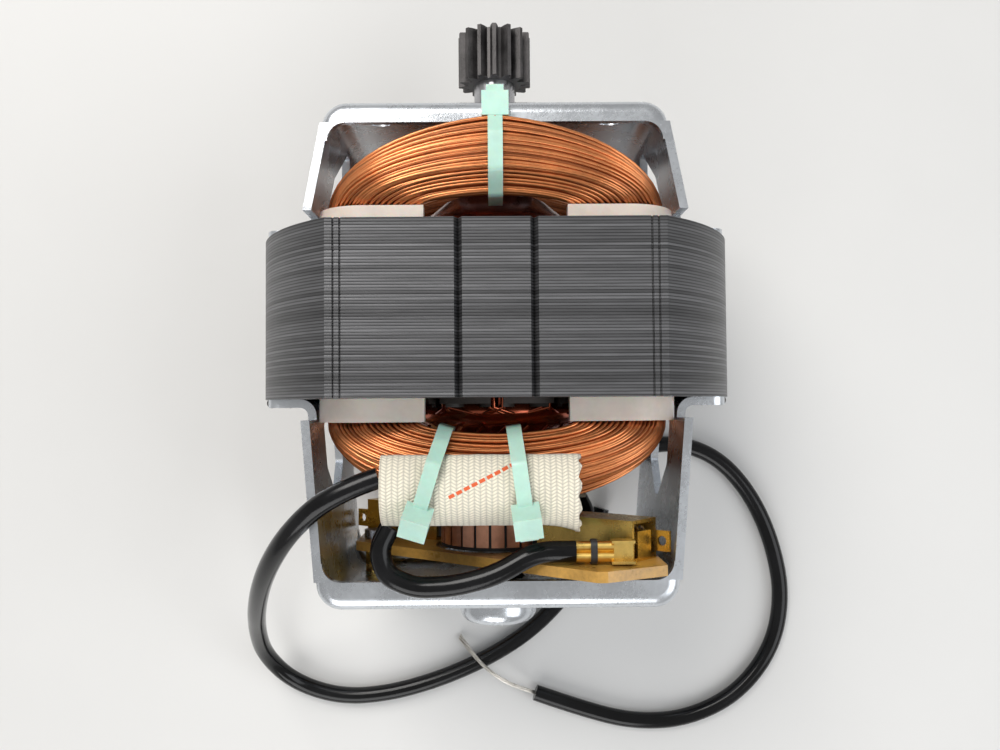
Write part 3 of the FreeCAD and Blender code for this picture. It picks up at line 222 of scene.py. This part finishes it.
def sheets_group():
    """Stacked sheets along the shaft, each with its own brightness and a dark joint."""
    tree, given, out = new_group("Sheets", [("Pitch", "NodeSocketFloat"), ("Base", "NodeSocketColor")],
                                 [("Colour", "NodeSocketColor"), ("Height", "NodeSocketFloat")])
    place = put(tree, "ShaderNodeTexCoord").outputs["Object"]
    parts = put(tree, "ShaderNodeSeparateXYZ", {0: place}).outputs
    steps = calc(tree, "DIVIDE", parts[1], given["Pitch"])
    layer = calc(tree, "FLOOR", steps)
    inside = calc(tree, "FRACT", steps)
    hump = calc(tree, "SINE", calc(tree, "MULTIPLY", inside, math.pi))
    edge = put(tree, "ShaderNodeMapRange", {0: hump, 1: 0.15, 2: 0.75}).outputs[0]
    lot = put(tree, "ShaderNodeTexWhiteNoise", {"W": layer}, noise_dimensions="1D").outputs[0]
    shade = calc(tree, "MULTIPLY_ADD", lot, 0.7, 0.55)
    streak_place = put(tree, "ShaderNodeCombineXYZ", {0: calc(tree, "MULTIPLY", parts[0], 90.0), 1: layer,
                                                      2: calc(tree, "MULTIPLY", parts[2], 90.0)}).outputs[0]
    streak = put(tree, "ShaderNodeTexNoise", {"Vector": streak_place, "Scale": 1.0, "Detail": 3.0}).outputs[0]
    level = calc(tree, "MULTIPLY", calc(tree, "MULTIPLY_ADD", edge, 0.75, 0.25),
                 calc(tree, "MULTIPLY", shade, calc(tree, "MULTIPLY_ADD", streak, 0.9, 0.55)))
    grey = put(tree, "ShaderNodeCombineColor", {0: level, 1: level, 2: level}).outputs[0]
    tree.links.new(blend_colour(tree, 1.0, given["Base"], grey, "MULTIPLY"), out["Colour"])
    tree.links.new(edge, out["Height"])
    return tree


def braid_group():
    """Herringbone braid on the mesh's own braid coordinates, and a dashed tracer thread."""
    tree, given, out = new_group("Braid", [
        ("Pitch", "NodeSocketFloat"), ("Yarn", "NodeSocketColor"), ("Tracer", "NodeSocketColor")],
        [("Colour", "NodeSocketColor"), ("Height", "NodeSocketFloat")])
    braid = put(tree, "ShaderNodeUVMap", uv_map="braid").outputs[0]
    parts = put(tree, "ShaderNodeSeparateXYZ", {0: braid}).outputs
    column = calc(tree, "DIVIDE", parts[0], given["Pitch"])
    row = calc(tree, "DIVIDE", parts[1], calc(tree, "MULTIPLY", given["Pitch"], 0.62))
    odd = calc(tree, "FLOORED_MODULO", calc(tree, "FLOOR", column), 2.0)
    side = calc(tree, "MULTIPLY_ADD", odd, 2.0, -1.0)
    across = calc(tree, "FRACT", column)
    lean = calc(tree, "MULTIPLY", calc(tree, "MULTIPLY", calc(tree, "SUBTRACT", across, 0.5), side), 0.9)
    stitch = calc(tree, "FRACT", calc(tree, "ADD", row, lean))
    yarn = calc(tree, "SINE", calc(tree, "MULTIPLY", stitch, math.pi))
    rib = calc(tree, "SINE", calc(tree, "MULTIPLY", across, math.pi))
    height = calc(tree, "MULTIPLY", calc(tree, "POWER", yarn, 0.6), calc(tree, "POWER", rib, 0.45))
    fuzz = put(tree, "ShaderNodeTexNoise", {"Vector": braid, "Scale": 5200.0, "Detail": 3.0}).outputs[0]
    # The yarn is darkened where the weave dips low: painted shade in the braid's grooves, varied by random
    # fuzz
    shade = calc(tree, "MULTIPLY", calc(tree, "MULTIPLY_ADD", height, 0.46, 0.57),
                 calc(tree, "MULTIPLY_ADD", fuzz, 0.3, 0.85))
    grey = put(tree, "ShaderNodeCombineColor", {0: shade, 1: shade, 2: shade}).outputs[0]
    cloth = blend_colour(tree, 1.0, given["Yarn"], grey, "MULTIPLY")
    plan = put(tree, "ShaderNodeUVMap", uv_map="plan").outputs[0]
    spot = put(tree, "ShaderNodeSeparateXYZ", {0: plan}).outputs
    x = calc(tree, "SUBTRACT", spot[0], TRACER_START[0])
    y = calc(tree, "SUBTRACT", spot[1], TRACER_START[1])
    along = calc(tree, "ADD", calc(tree, "MULTIPLY", x, TRACER_RUN[0]),
                 calc(tree, "MULTIPLY", y, TRACER_RUN[1]))
    off = calc(tree, "ABSOLUTE", calc(tree, "SUBTRACT", calc(tree, "MULTIPLY", y, TRACER_RUN[0]),
                                      calc(tree, "MULTIPLY", x, TRACER_RUN[1])))
    near = calc(tree, "LESS_THAN", off, TRACER_HALF_WIDTH)
    dash = calc(tree, "LESS_THAN", calc(tree, "FRACT", calc(tree, "DIVIDE", along, TRACER_PITCH)), 0.72)
    within = calc(tree, "MULTIPLY", calc(tree, "GREATER_THAN", along, 0.0),
                  calc(tree, "LESS_THAN", along, TRACER_LENGTH))
    mark = calc(tree, "MULTIPLY", near, calc(tree, "MULTIPLY", dash, within))
    tree.links.new(blend_colour(tree, mark, cloth, given["Tracer"]), out["Colour"])
    tree.links.new(height, out["Height"])
    return tree


def use_group(tree, name, inputs):
    """A group node in a material's tree."""
    maker = {"Grain": grain_group, "Sheets": sheets_group, "Braid": braid_group}[name]
    group = bpy.data.node_groups.get(name) or maker()
    node = put(tree, "ShaderNodeGroup", node_tree=group)
    for key, value in inputs.items():
        node.inputs[key].default_value = value
    return node.outputs


def material(name):
    """An empty node material, as (material, tree, shader)."""
    made = bpy.data.materials.new(name)
    made.use_nodes = True
    return made, made.node_tree, made.node_tree.nodes["Principled BSDF"]


def bump(tree, shader, height, strength, distance):
    """Feeds a height into the shader's normal."""
    node = put(tree, "ShaderNodeBump", {"Height": height, "Strength": strength, "Distance": distance})
    tree.links.new(node.outputs[0], shader.inputs["Normal"])


def shaded(colour, factor):
    """A colour made darker or lighter."""
    return rgba([min(1.0, channel * factor) for channel in colour])


def grained(name, colour, scale, low, high, metallic, rough, rough_spread, relief, **sockets):
    """A mottled finish: two shades of a colour, uneven roughness and fine relief."""
    made, tree, shader = material(name)
    grain = use_group(tree, "Grain", {"Scale": scale, "First": shaded(colour, low),
                                      "Second": shaded(colour, high)})
    tree.links.new(grain["Colour"], shader.inputs["Base Color"])
    uneven = put(tree, "ShaderNodeMapRange", {0: grain["Mask"], 3: rough, 4: rough + rough_spread})
    tree.links.new(uneven.outputs[0], shader.inputs["Roughness"])
    shader.inputs["Metallic"].default_value = metallic
    for key, value in sockets.items():
        shader.inputs[key.replace("_", " ")].default_value = value
    bump(tree, shader, grain["Height"], 0.5, relief)
    return made


def wire_material(name, colour, dark, rough):
    """Enamelled wire: each strand has its own mottled tone, and random strands are blended towards a second
    colour, which is painted shade on the field coils and painted glints on the armature.
    """
    made, tree, shader = material(name)
    lot = put(tree, "ShaderNodeNewGeometry").outputs["Random Per Island"]
    grain = use_group(tree, "Grain", {"Scale": 900.0, "First": shaded(colour, 0.72),
                                      "Second": shaded(colour, 1.25)})
    # Random strands take the second colour: painted shade for the field copper, painted glints for the
    # armature's enamel
    tone = blend_colour(tree, calc(tree, "MULTIPLY", calc(tree, "POWER", lot, 2.5), 0.6),
                        grain["Colour"], rgba(dark))
    tree.links.new(tone, shader.inputs["Base Color"])
    shader.inputs["Metallic"].default_value = 0.85
    shader.inputs["Roughness"].default_value = rough
    shader.inputs["Coat Weight"].default_value = 0.35
    shader.inputs["Coat Roughness"].default_value = 0.15
    bump(tree, shader, grain["Height"], 0.25, 0.00002)
    return made


def sheets_material(name, colour, pitch):
    """Stacked steel sheets seen on their edges."""
    made, tree, shader = material(name)
    sheets = use_group(tree, "Sheets", {"Pitch": pitch, "Base": rgba([min(1.0, c * 1.25) for c in colour])})
    tree.links.new(sheets["Colour"], shader.inputs["Base Color"])
    shader.inputs["Metallic"].default_value = 0.55
    shader.inputs["Roughness"].default_value = 0.42
    bump(tree, shader, sheets["Height"], 0.6, 0.00005)
    return made


def braid_material(name, yarn, tracer, pitch):
    """Woven glass sleeve."""
    made, tree, shader = material(name)
    braid = use_group(tree, "Braid", {"Pitch": pitch, "Yarn": rgba(yarn), "Tracer": rgba(tracer)})
    tree.links.new(braid["Colour"], shader.inputs["Base Color"])
    shader.inputs["Roughness"].default_value = 0.8
    shader.inputs["Sheen Weight"].default_value = 0.3
    bump(tree, shader, braid["Height"], 0.8, 0.00016)
    return made


def finish_for(slot):
    """The finish of a material slot, made once."""
    name = "finish_" + slot
    if name in bpy.data.materials:
        return bpy.data.materials[name]
    colours = bpy.context.scene.motor_colours
    sizes = bpy.context.scene.motor_sizes
    if slot == "lamination":
        return sheets_material(name, colours.lamination, sizes.sheet_pitch)
    if slot == "copper_wire":
        return wire_material(name, colours.copper, colours.copper_dark, 0.3)
    if slot == "armature_enamel":
        # The bright copper colour here is painted glints on random strands of the armature's wire
        return wire_material(name, colours.enamel, (0.66, 0.21, 0.07), 0.2)
    if slot == "sleeve_fabric":
        return braid_material(name, colours.sleeve, colours.tracer, sizes.braid_pitch)
    looks = {
        "zinc_sheet": (colours.zinc, 1500, 0.9, 1.05, 1.0, 0.23, 0.09, 0.00004),
        "shaft_steel": ((0.5, 0.5, 0.52), 700, 0.7, 1.1, 1.0, 0.25, 0.15, 0.00002),
        "gunmetal": (colours.gunmetal, 2200, 0.55, 1.3, 0.85, 0.42, 0.2, 0.00007),
        "commutator_copper": ((0.72, 0.36, 0.24), 900, 0.7, 1.15, 1.0, 0.28, 0.15, 0.00002),
        "brass": (colours.brass, 700, 0.75, 1.15, 1.0, 0.2, 0.14, 0.00002),
        "phenolic": (colours.phenolic, 1500, 0.7, 1.35, 0.0, 0.25, 0.15, 0.00002),
        "liner_nylon": (colours.liner, 350, 0.88, 1.12, 0.0, 0.35, 0.15, 0.00003),
        "tie_nylon": (colours.tie, 500, 0.9, 1.1, 0.0, 0.28, 0.12, 0.00002),
        "lead_pvc": (colours.pvc, 1200, 0.7, 1.6, 0.0, 0.13, 0.1, 0.00002),
        "carbon": ((0.03, 0.03, 0.032), 2500, 0.6, 1.5, 0.0, 0.6, 0.2, 0.00004),
        "bush_bronze": ((0.42, 0.26, 0.11), 1800, 0.7, 1.2, 0.9, 0.42, 0.2, 0.00004),
        "felt": ((0.36, 0.31, 0.22), 2600, 0.6, 1.3, 0.0, 0.9, 0.1, 0.0002),
        "fibre": ((0.035, 0.028, 0.024), 900, 0.7, 1.5, 0.0, 0.5, 0.2, 0.00005),
        "moulding": ((0.02, 0.02, 0.021), 1200, 0.7, 1.4, 0.0, 0.35, 0.2, 0.00003),
        "tinned_copper": ((0.66, 0.63, 0.58), 1500, 0.7, 1.1, 1.0, 0.25, 0.2, 0.00003),
        "spring_steel": ((0.42, 0.42, 0.44), 900, 0.7, 1.15, 1.0, 0.25, 0.15, 0.00002)}
    extra = {
        "tie_nylon": {"Subsurface_Weight": 0.35, "Subsurface_Scale": 0.002, "Coat_Weight": 0.2},
        "liner_nylon": {"Subsurface_Weight": 0.4, "Subsurface_Scale": 0.002},
        "lead_pvc": {"Specular_IOR_Level": 0.25},
        "phenolic": {"Coat_Weight": 0.4, "Coat_Roughness": 0.1}}
    return grained(name, *looks[slot], **extra.get(slot, {}))


# Geometry helpers

def link(obj, slot, body="stator"):
    """Puts a new piece into the scene with its finish, riding on a body."""
    bpy.context.scene.collection.objects.link(obj)
    obj.data.materials.append(finish_for(slot))
    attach(obj, body)
    return obj


def lifted(point, turned=False):
    """A point drawn about the shaft in millimetres, in metres above the floor."""
    x, y, z = point
    if turned:
        x, z = -x, -z
    return Vector((x * MM, y * MM, z * MM + AXIS_Z))


def wires(name, paths, diameter, closed=False, resolution=2):
    """One curve object with a round strand along each path."""
    curve = bpy.data.curves.new(name, "CURVE")
    curve.dimensions = "3D"
    curve.bevel_depth = diameter / 2
    curve.bevel_resolution = resolution
    curve.use_fill_caps = True
    for path in paths:
        spline = curve.splines.new("POLY")
        spline.points.add(len(path) - 1)
        spline.points.foreach_set("co", [value for point in path for value in (*point, 1.0)])
        spline.use_cyclic_u = closed
        spline.use_smooth = True
    return bpy.data.objects.new(name, curve)


def grid_mesh(name, rings, closed_rows=False, capped=False):
    """A mesh through rings of points; closed_rows joins the last ring to the first."""
    count = len(rings[0])
    points = [tuple(point) for ring in rings for point in ring]
    faces = []
    for row in range(len(rings) if closed_rows else len(rings) - 1):
        after = (row + 1) % len(rings)
        for column in range(count):
            beyond = (column + 1) % count
            faces.append((row * count + column, row * count + beyond, after * count + beyond,
                          after * count + column))
    if capped:
        faces.append(tuple(reversed(range(count))))
        faces.append(tuple(range(len(points) - count, len(points))))
    mesh = bpy.data.meshes.new(name)
    mesh.from_pydata(points, [], faces)
    mesh.update()
    for polygon in mesh.polygons:
        polygon.use_smooth = True
    return bpy.data.objects.new(name, mesh)


def grown(ring, amount):
    """A closed section with each corner moved outwards."""
    made = []
    for index, (x, y) in enumerate(ring):
        before = Vector(ring[index - 1])
        after = Vector(ring[(index + 1) % len(ring)])
        run = (after - before).normalized()
        made.append((x - run.y * amount, y + run.x * amount))
    return made


def between(a, b, share):
    """A point of a section at a share between two corners."""
    return (a[0] + (b[0] - a[0]) * share, a[1] + (b[1] - a[1]) * share)


def turn_path(slot, drive, brush, steps, wobble, turned):
    """One closed turn: through both slots and round both ends."""
    path = []
    for end, middle, power in ((1, drive, 1.12), (-1, brush, 1.0)):
        quarter = []
        for step in range(steps + 1):
            angle = step / steps * math.pi / 2
            across = math.cos(angle) ** power
            out = math.sin(angle) ** power
            lift = 1.0 - (1.0 - out) ** 2.2
            bulge = 1.0 + wobble * math.sin(2 * angle)
            quarter.append((slot[0] * across * bulge, SLOT_END + (middle[0] - SLOT_END) * out * bulge,
                            slot[1] + (middle[1] - slot[1]) * lift))
        whole = quarter + [(-x, y, z) for x, y, z in reversed(quarter[:-1])]
        if end < 0:
            whole = [(x, -y, z) for x, y, z in reversed(whole)]
        path += whole
    return [lifted(point, turned) for point in path]


def build_coil(name, turned, seed):
    """A wound field coil: strands all round its section over a dark body."""
    chance = random.Random(seed)
    suffix = "bottom" if turned else "top"
    sizes = bpy.context.scene.motor_sizes
    pitch = sizes.field_wire / MM * 0.98
    rings = [grown(ring, 0.62) for ring in (SLOT_RING, DRIVE_RING, BRUSH_RING)]
    paths = []
    for index in range(len(SLOT_RING)):
        after = (index + 1) % len(SLOT_RING)
        spans = [(Vector(ring[index]) - Vector(ring[after])).length for ring in rings]
        count = max(1, round((spans[0] + 2 * max(spans[1], spans[2])) / 3 / pitch))
        for step in range(count):
            share = (step + chance.uniform(-0.16, 0.16)) / count
            ends = [between(ring[index], ring[after], share) for ring in rings]
            lean = chance.uniform(-0.24, 0.24)
            ends[1] = (ends[1][0] + lean, ends[1][1] + chance.uniform(-0.34, 0.12))
            ends[2] = (ends[2][0] - lean, ends[2][1] + chance.uniform(-0.28, 0.12))
            paths.append(turn_path(*ends, 14, chance.uniform(-0.05, -0.03), turned))
    strands = link(wires(name, paths, sizes.field_wire, closed=True), "copper_wire")
    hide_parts("field_winding_" + suffix, "field_coil_" + suffix)
    columns = [turn_path(*corner, 10, -0.04, turned) for corner in
               zip(grown(SLOT_RING, 0.2), grown(DRIVE_RING, 0.2), grown(BRUSH_RING, 0.2))]
    body = grid_mesh(name + "_body", [list(ring) for ring in zip(*columns)], closed_rows=True)
    link(body, "copper_wire")


def armature_strands(sign, length, seed):
    """Strands that leave one slot, pass the shaft and enter the slot five places on."""
    chance = random.Random(seed)
    paths = []
    for slot in range(SLOT_COUNT):
        for strand in range(SLOT_STRANDS):
            start = slot * 2 * math.pi / SLOT_COUNT
            swing = math.radians(150)
            depth = strand / (SLOT_STRANDS - 1)
            rise = length * (0.97 - 0.62 * depth) * chance.uniform(0.88, 1.0)
            inner = 9.2 + 4.6 * depth + chance.uniform(-0.7, 0.7)
            outer = 15.3 + 3.4 * depth
            aside = chance.uniform(-0.08, 0.08)
            path = []
            for step in range(-1, 14):
                share = min(max(step / 12, 0.0), 1.0)
                angle = start + aside + swing * share
                hump = math.sin(math.pi * share)
                radius = outer - (outer - inner) * hump ** 0.7
                along = 16.2 + (rise - 0.4) * hump ** 0.55
                if step in (-1, 13):
                    along = 10.0
                place = (radius * math.sin(angle), sign * along, radius * math.cos(angle))
                path.append(lifted(place))
            paths.append(path)
    return paths


def lathe(name, profile, count=64):
    """A closed ring turned about the shaft from pairs of place along it and radius."""
    rings = []
    for step in range(count):
        angle = step / count * 2 * math.pi
        rings.append([lifted((radius * math.sin(angle), along, radius * math.cos(angle)))
                      for along, radius in profile])
    return grid_mesh(name, rings, closed_rows=True)


def smooth_ring(ring, rounds=2):
    """A closed section with its corners cut back twice."""
    points = [Vector(point) for point in ring]
    for _ in range(rounds):
        cut = []
        for index, point in enumerate(points):
            after = points[(index + 1) % len(points)]
            cut += [point.lerp(after, 0.25), point.lerp(after, 0.75)]
        points = cut
    return points


def build_sleeve(name, turned):
    """A flattened, folded tube of braid with an open, uneven end."""
    ring = smooth_ring(grown(SLEEVE_RING, -0.1))
    inner = smooth_ring(grown(SLEEVE_RING, 0.42))
    rings = []
    plans = []
    arcs = []
    travelled = [0.0]
    for before, after in zip(ring, ring[1:] + ring[:1]):
        travelled.append(travelled[-1] + (after - before).length)
    order = [(station, ring) for station in range(SLEEVE_STATIONS + 1)]
    order += [(SLEEVE_STATIONS - step, inner) for step in range(HEM_STATIONS)]
    for station, section in order:
        share = station / SLEEVE_STATIONS
        x = SLEEVE_START + SLEEVE_LENGTH * share
        row = []
        for index, point in enumerate(section):
            wave = 0.22 * math.sin(x * 0.9 + index * 0.5) + 0.13 * math.sin(x * 2.3 - index * 0.9)
            mouth = max(0.0, share - 0.82) / 0.18
            pinch = sum(math.exp(-((x - tie) / 1.7) ** 2) for tie in TIE_PLACES)
            flare = 1.2 * mouth ** 2 * max(0.0, (-point.x - 30.0) / 6.2)
            y = point.x + 0.1 * wave - flare
            z = point.y + 0.5 * wave * (0.4 + 0.6 * mouth) - 0.25 * pinch
            ragged = 0.35 * math.sin(index * 1.9) * (mouth if station == SLEEVE_STATIONS else 0.0)
            row.append((x + ragged, y, min(z, SLEEVE_TOP)))
        rings.append([lifted(point, turned) for point in row])
        plans.append([(point[0] * MM, point[1] * MM) for point in row])
        arcs.append([(point[0] * MM, travelled[index] * MM) for index, point in enumerate(row)])
    sleeve = grid_mesh(name, rings, capped=True)
    flat_plans = [place for row in plans for place in row]
    flat_arcs = [place for row in arcs for place in row]
    for label, places in (("braid", flat_arcs), ("plan", flat_plans)):
        layer = sleeve.data.uv_layers.new(name=label)
        for loop in sleeve.data.loops:
            layer.data[loop.index].uv = places[loop.vertex_index]
    link(sleeve, "sleeve_fabric")
    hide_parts("sleeve_bottom" if turned else "sleeve_top")


def nurbs(name, points, diameter):
    """A lead as one smooth open spline through its route."""
    curve = bpy.data.curves.new(name, "CURVE")
    curve.dimensions = "3D"
    curve.resolution_u = 10
    curve.bevel_depth = diameter / 2
    curve.bevel_resolution = 6
    curve.use_fill_caps = True
    spline = curve.splines.new("NURBS")
    spline.points.add(len(points) - 1)
    for point, place in zip(spline.points, points):
        point.co = (*place, 1.0)
    spline.order_u = 3
    spline.use_endpoint_u = True
    return bpy.data.objects.new(name, curve)


def sampled(points):
    """Points along the smooth spline of a route."""
    guide = nurbs("guide", points, 0.0)
    bpy.context.scene.collection.objects.link(guide)
    bpy.context.view_layer.update()
    mesh = bpy.data.meshes.new_from_object(guide)
    places = [vertex.co.copy() for vertex in mesh.vertices]
    bpy.data.objects.remove(guide)
    bpy.data.meshes.remove(mesh)
    return places


# Operators

class MOTOR_OT_stage(bpy.types.Operator):
    """Sets the camera, lights, floor and background"""
    bl_idname = "motor.stage"
    bl_label = "Stage"

    def execute(self, context):
        scene = context.scene
        camera = bpy.data.objects.new("camera", bpy.data.cameras.new("camera"))
        camera.data.lens = 33.48
        camera.data.sensor_width = 36.0
        camera.data.clip_start = 0.005
        to_camera = Matrix(((0.99995268, -0.00749045, 0.00620745), (0.00727036, 0.99936955, 0.03475118),
                            (-0.00646384, -0.03470441, 0.99937672)))
        camera.matrix_world = (Matrix.Translation((-0.0004955, -0.016167, 0.216888))
                               @ to_camera.transposed().to_4x4())
        scene.collection.objects.link(camera)
        scene.camera = camera
        scene.view_settings.view_transform = "Standard"
        for name, place, size, energy, tint in (
                ("key", (-0.28, 0.42, 0.62), 0.42, 5.2, (1.0, 0.98, 0.95)),
                ("fill", (0.5, -0.15, 0.5), 0.5, 2.0, (0.94, 0.97, 1.0)),
                ("front", (-0.1, -0.55, 0.34), 0.4, 1.8, (1.0, 1.0, 1.0))):
            light = bpy.data.objects.new(name, bpy.data.lights.new(name, "AREA"))
            light.data.size = size
            light.data.energy = energy
            light.data.color = tint
            light.location = place
            light.rotation_euler = (Vector((0, 0, 0.03)) - Vector(place)).to_track_quat("-Z", "Y").to_euler()
            scene.collection.objects.link(light)
        mesh = bpy.data.meshes.new("floor")
        reach = 1.6
        mesh.from_pydata([(-reach, -reach, 0), (reach, -reach, 0), (reach, reach, 0), (-reach, reach, 0)],
                         [], [(0, 1, 2, 3)])
        floor = bpy.data.objects.new("floor", mesh)
        scene.collection.objects.link(floor)
        mesh.materials.append(grained("floor_finish", scene.motor_colours.floor, 40.0, 0.985, 1.015, 0.0,
                                      0.6, 0.05, 0.00001))
        world = bpy.data.worlds.new("surroundings")
        scene.world = world
        world.use_nodes = True
        tree = world.node_tree
        path = put(tree, "ShaderNodeLightPath").outputs
        seen = calc(tree, "MAXIMUM", path["Is Camera Ray"],
                    calc(tree, "MAXIMUM", path["Is Glossy Ray"], path["Is Transmission Ray"]))
        upward = put(tree, "ShaderNodeSeparateXYZ", {0: put(tree, "ShaderNodeTexCoord").outputs["Generated"]})
        height = put(tree, "ShaderNodeMapRange", {0: upward.outputs[2], 1: -0.2, 2: 0.9}).outputs[0]
        room = blend_colour(tree, height, (0.16, 0.15, 0.14, 1.0), (0.62, 0.65, 0.70, 1.0))
        tree.links.new(blend_colour(tree, seen, room, (0.86, 0.85, 0.83, 1.0)),
                       tree.nodes["Background"].inputs["Color"])
        tree.nodes["Background"].inputs["Strength"].default_value = 0.55
        return {"FINISHED"}


class MOTOR_OT_leads(bpy.types.Operator):
    """Makes the two supply leads and the bare strands"""
    bl_idname = "motor.leads"
    bl_label = "Supply leads"

    def execute(self, context):
        sizes = context.scene.motor_sizes
        upper = link(nurbs("supply_lead_upper", UPPER_LEAD, sizes.lead), "lead_pvc")
        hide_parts("supply_lead_top")
        centre = sampled(STRANDS)
        chance = random.Random(5)
        paths = []
        for strand in range(7):
            phase = strand * 2 * math.pi / 6
            fray = chance.uniform(0.2, 1.0) if strand else 0.0
            path = []
            for index, place in enumerate(centre):
                share = index / (len(centre) - 1)
                angle = phase + share * 9.0
                radius = (0.00027 if strand else 0.0) + fray * 0.0009 * max(0.0, share - 0.55) ** 1.5
                twist = Vector((0.35 * math.cos(angle), math.cos(angle), math.sin(angle)))
                path.append(place + twist * radius)
            for place in path:
                place.z = max(place.z, 0.0003)
            paths.append(path)
        strands = link(wires("bare_strand_bundle", paths, 0.0003), "tinned_copper")
        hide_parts("bare_strands")
        lower = link(nurbs("supply_lead_lower", LOWER_LEAD, sizes.lead), "lead_pvc")
        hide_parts("supply_lead_bottom")
        return {"FINISHED"}


class MOTOR_OT_field_coils(bpy.types.Operator):
    """Winds both field coils strand by strand"""
    bl_idname = "motor.field_coils"
    bl_label = "Field coils"

    def execute(self, context):
        build_coil("field_strands_upper", False, 11)
        build_coil("field_strands_lower", True, 12)
        return {"FINISHED"}


class MOTOR_OT_armature_winding(bpy.types.Operator):
    """Winds the armature and joins it to the commutator"""
    bl_idname = "motor.armature_winding"
    bl_label = "Armature winding"

    def execute(self, context):
        paths = armature_strands(1, 8.2, 21) + armature_strands(-1, 8.4, 22)
        for bar in range(BAR_COUNT):
            angle = (bar + 0.5) * 2 * math.pi / BAR_COUNT
            path = []
            for along, radius, lead in ((-19.5, 15.6, 0.5), (-22.4, 14.6, 0.3), (-24.6, 13.2, 0.1),
                                        (-25.4, 12.4, 0.0), (-26.4, 12.2, 0.0)):
                turned = angle + lead
                path.append(lifted((radius * math.sin(turned), along, radius * math.cos(turned))))
            paths.append(path)
        strands = link(wires("armature_strands", paths, context.scene.motor_sizes.armature_wire),
                       "armature_enamel", "armature")
        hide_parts("armature_winding")
        for name, sign, length in (("armature_body_drive", 1, 7.2), ("armature_body_brush", -1, 7.4)):
            profile = [(sign * 15.6, 4.6), (sign * 15.6, 17.4), (sign * 18.0, 17.0), (sign * 19.6, 14.6),
                       (sign * (16.3 + length), 10.0), (sign * (16.3 + length), 4.6)]
            link(lathe(name, profile), "armature_enamel", "armature")
        return {"FINISHED"}


class MOTOR_OT_sleeves(bpy.types.Operator):
    """Makes the two braided sleeves"""
    bl_idname = "motor.sleeves"
    bl_label = "Braided sleeves"

    def execute(self, context):
        build_sleeve("braided_sleeve_upper", False)
        build_sleeve("braided_sleeve_lower", True)
        return {"FINISHED"}


class MOTOR_OT_felts(bpy.types.Operator):
    """Makes the oil felts of both bearings"""
    bl_idname = "motor.felts"
    bl_label = "Oil felts"

    def execute(self, context):
        for name, node in (("oil_felt_drive", "drive_end_felt"), ("oil_felt_brush", "brush_end_felt")):
            low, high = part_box(node)
            start, end = low[1] / MM, high[1] / MM
            outer = (high[0] - low[0]) / 2 / MM
            inner = 5.75 if node == "drive_end_felt" else 3.4
            swell = (end - start) * 0.15
            profile = [(start + swell, inner), (start, inner + swell), (start, outer - swell),
                       (start + swell, outer), (end - swell, outer), (end, outer - swell),
                       (end, inner + swell), (end - swell, inner)]
            felt = link(lathe(name, profile), "felt")
            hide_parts(node)
        return {"FINISHED"}


class MOTOR_OT_finishes(bpy.types.Operator):
    """Gives every piece of the frame its finish and soft edges"""
    bl_idname = "motor.finishes"
    bl_label = "Finishes"

    def execute(self, context):
        slots = {sub["node"]: sub["material_slot"] for sub in frame["record"]["subparts"]}
        rounded = {"tie_nylon": 0.00035, "brass": 0.00012, "zinc_sheet": 0.00015, "gunmetal": 0.0001,
                   "phenolic": 0.0001, "liner_nylon": 0.0002}
        for name, obj in frame["nodes"].items():
            slot = slots[name]
            finish = finish_for(slot)
            if not obj.material_slots:
                obj.data.materials.append(finish)
            for place in obj.material_slots:
                place.material = finish
            if slot in rounded and "stator" not in name:
                edge = obj.modifiers.new("soft_edges", "BEVEL")
                edge.width = rounded[slot]
                edge.segments = 2
                edge.limit_method = "ANGLE"
                edge.angle_limit = math.radians(50)
        return {"FINISHED"}


class MOTOR_OT_springs(bpy.types.Operator):
    """Gives the springs and pigtails that deform with their brushes meshes of their own"""
    bl_idname = "motor.springs"
    bl_label = "Brush springs"

    def execute(self, context):
        for joint in frame["record"]["behaviour"]["joints"]:
            for item in joint.get("deforming_nodes", []):
                piece = frame["nodes"][item["node"]]
                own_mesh(piece)
        return {"FINISHED"}


class MOTOR_PT_panel(bpy.types.Panel):
    """Lists the motor's steps, sizes and colours"""
    bl_idname = "MOTOR_PT_panel"
    bl_label = "Motor"
    bl_space_type = "VIEW_3D"
    bl_region_type = "UI"
    bl_category = "Motor"

    def draw(self, context):
        for operator in OPERATORS:
            self.layout.operator(operator.bl_idname)
        for group in (context.scene.motor_sizes, context.scene.motor_colours):
            for name in group.__annotations__:
                self.layout.prop(group, name)


OPERATORS = (MOTOR_OT_stage, MOTOR_OT_leads, MOTOR_OT_field_coils, MOTOR_OT_armature_winding,
             MOTOR_OT_sleeves, MOTOR_OT_felts, MOTOR_OT_finishes, MOTOR_OT_springs)
CLASSES = (MotorSizes, MotorColours, *OPERATORS, MOTOR_PT_panel)


def register():
    """Registers the classes and their settings."""
    for item in CLASSES:
        bpy.utils.register_class(item)
    bpy.types.Scene.motor_sizes = bpy.props.PointerProperty(type=MotorSizes)
    bpy.types.Scene.motor_colours = bpy.props.PointerProperty(type=MotorColours)


def unregister():
    """Removes the settings and classes."""
    del bpy.types.Scene.motor_colours
    del bpy.types.Scene.motor_sizes
    for item in reversed(CLASSES):
        bpy.utils.unregister_class(item)


def main():
    """Builds every piece in order."""
    register()
    for operator in OPERATORS:
        group, name = operator.bl_idname.split(".")
        getattr(getattr(bpy.ops, group), name)()


if __name__ == "__main__":
    main()
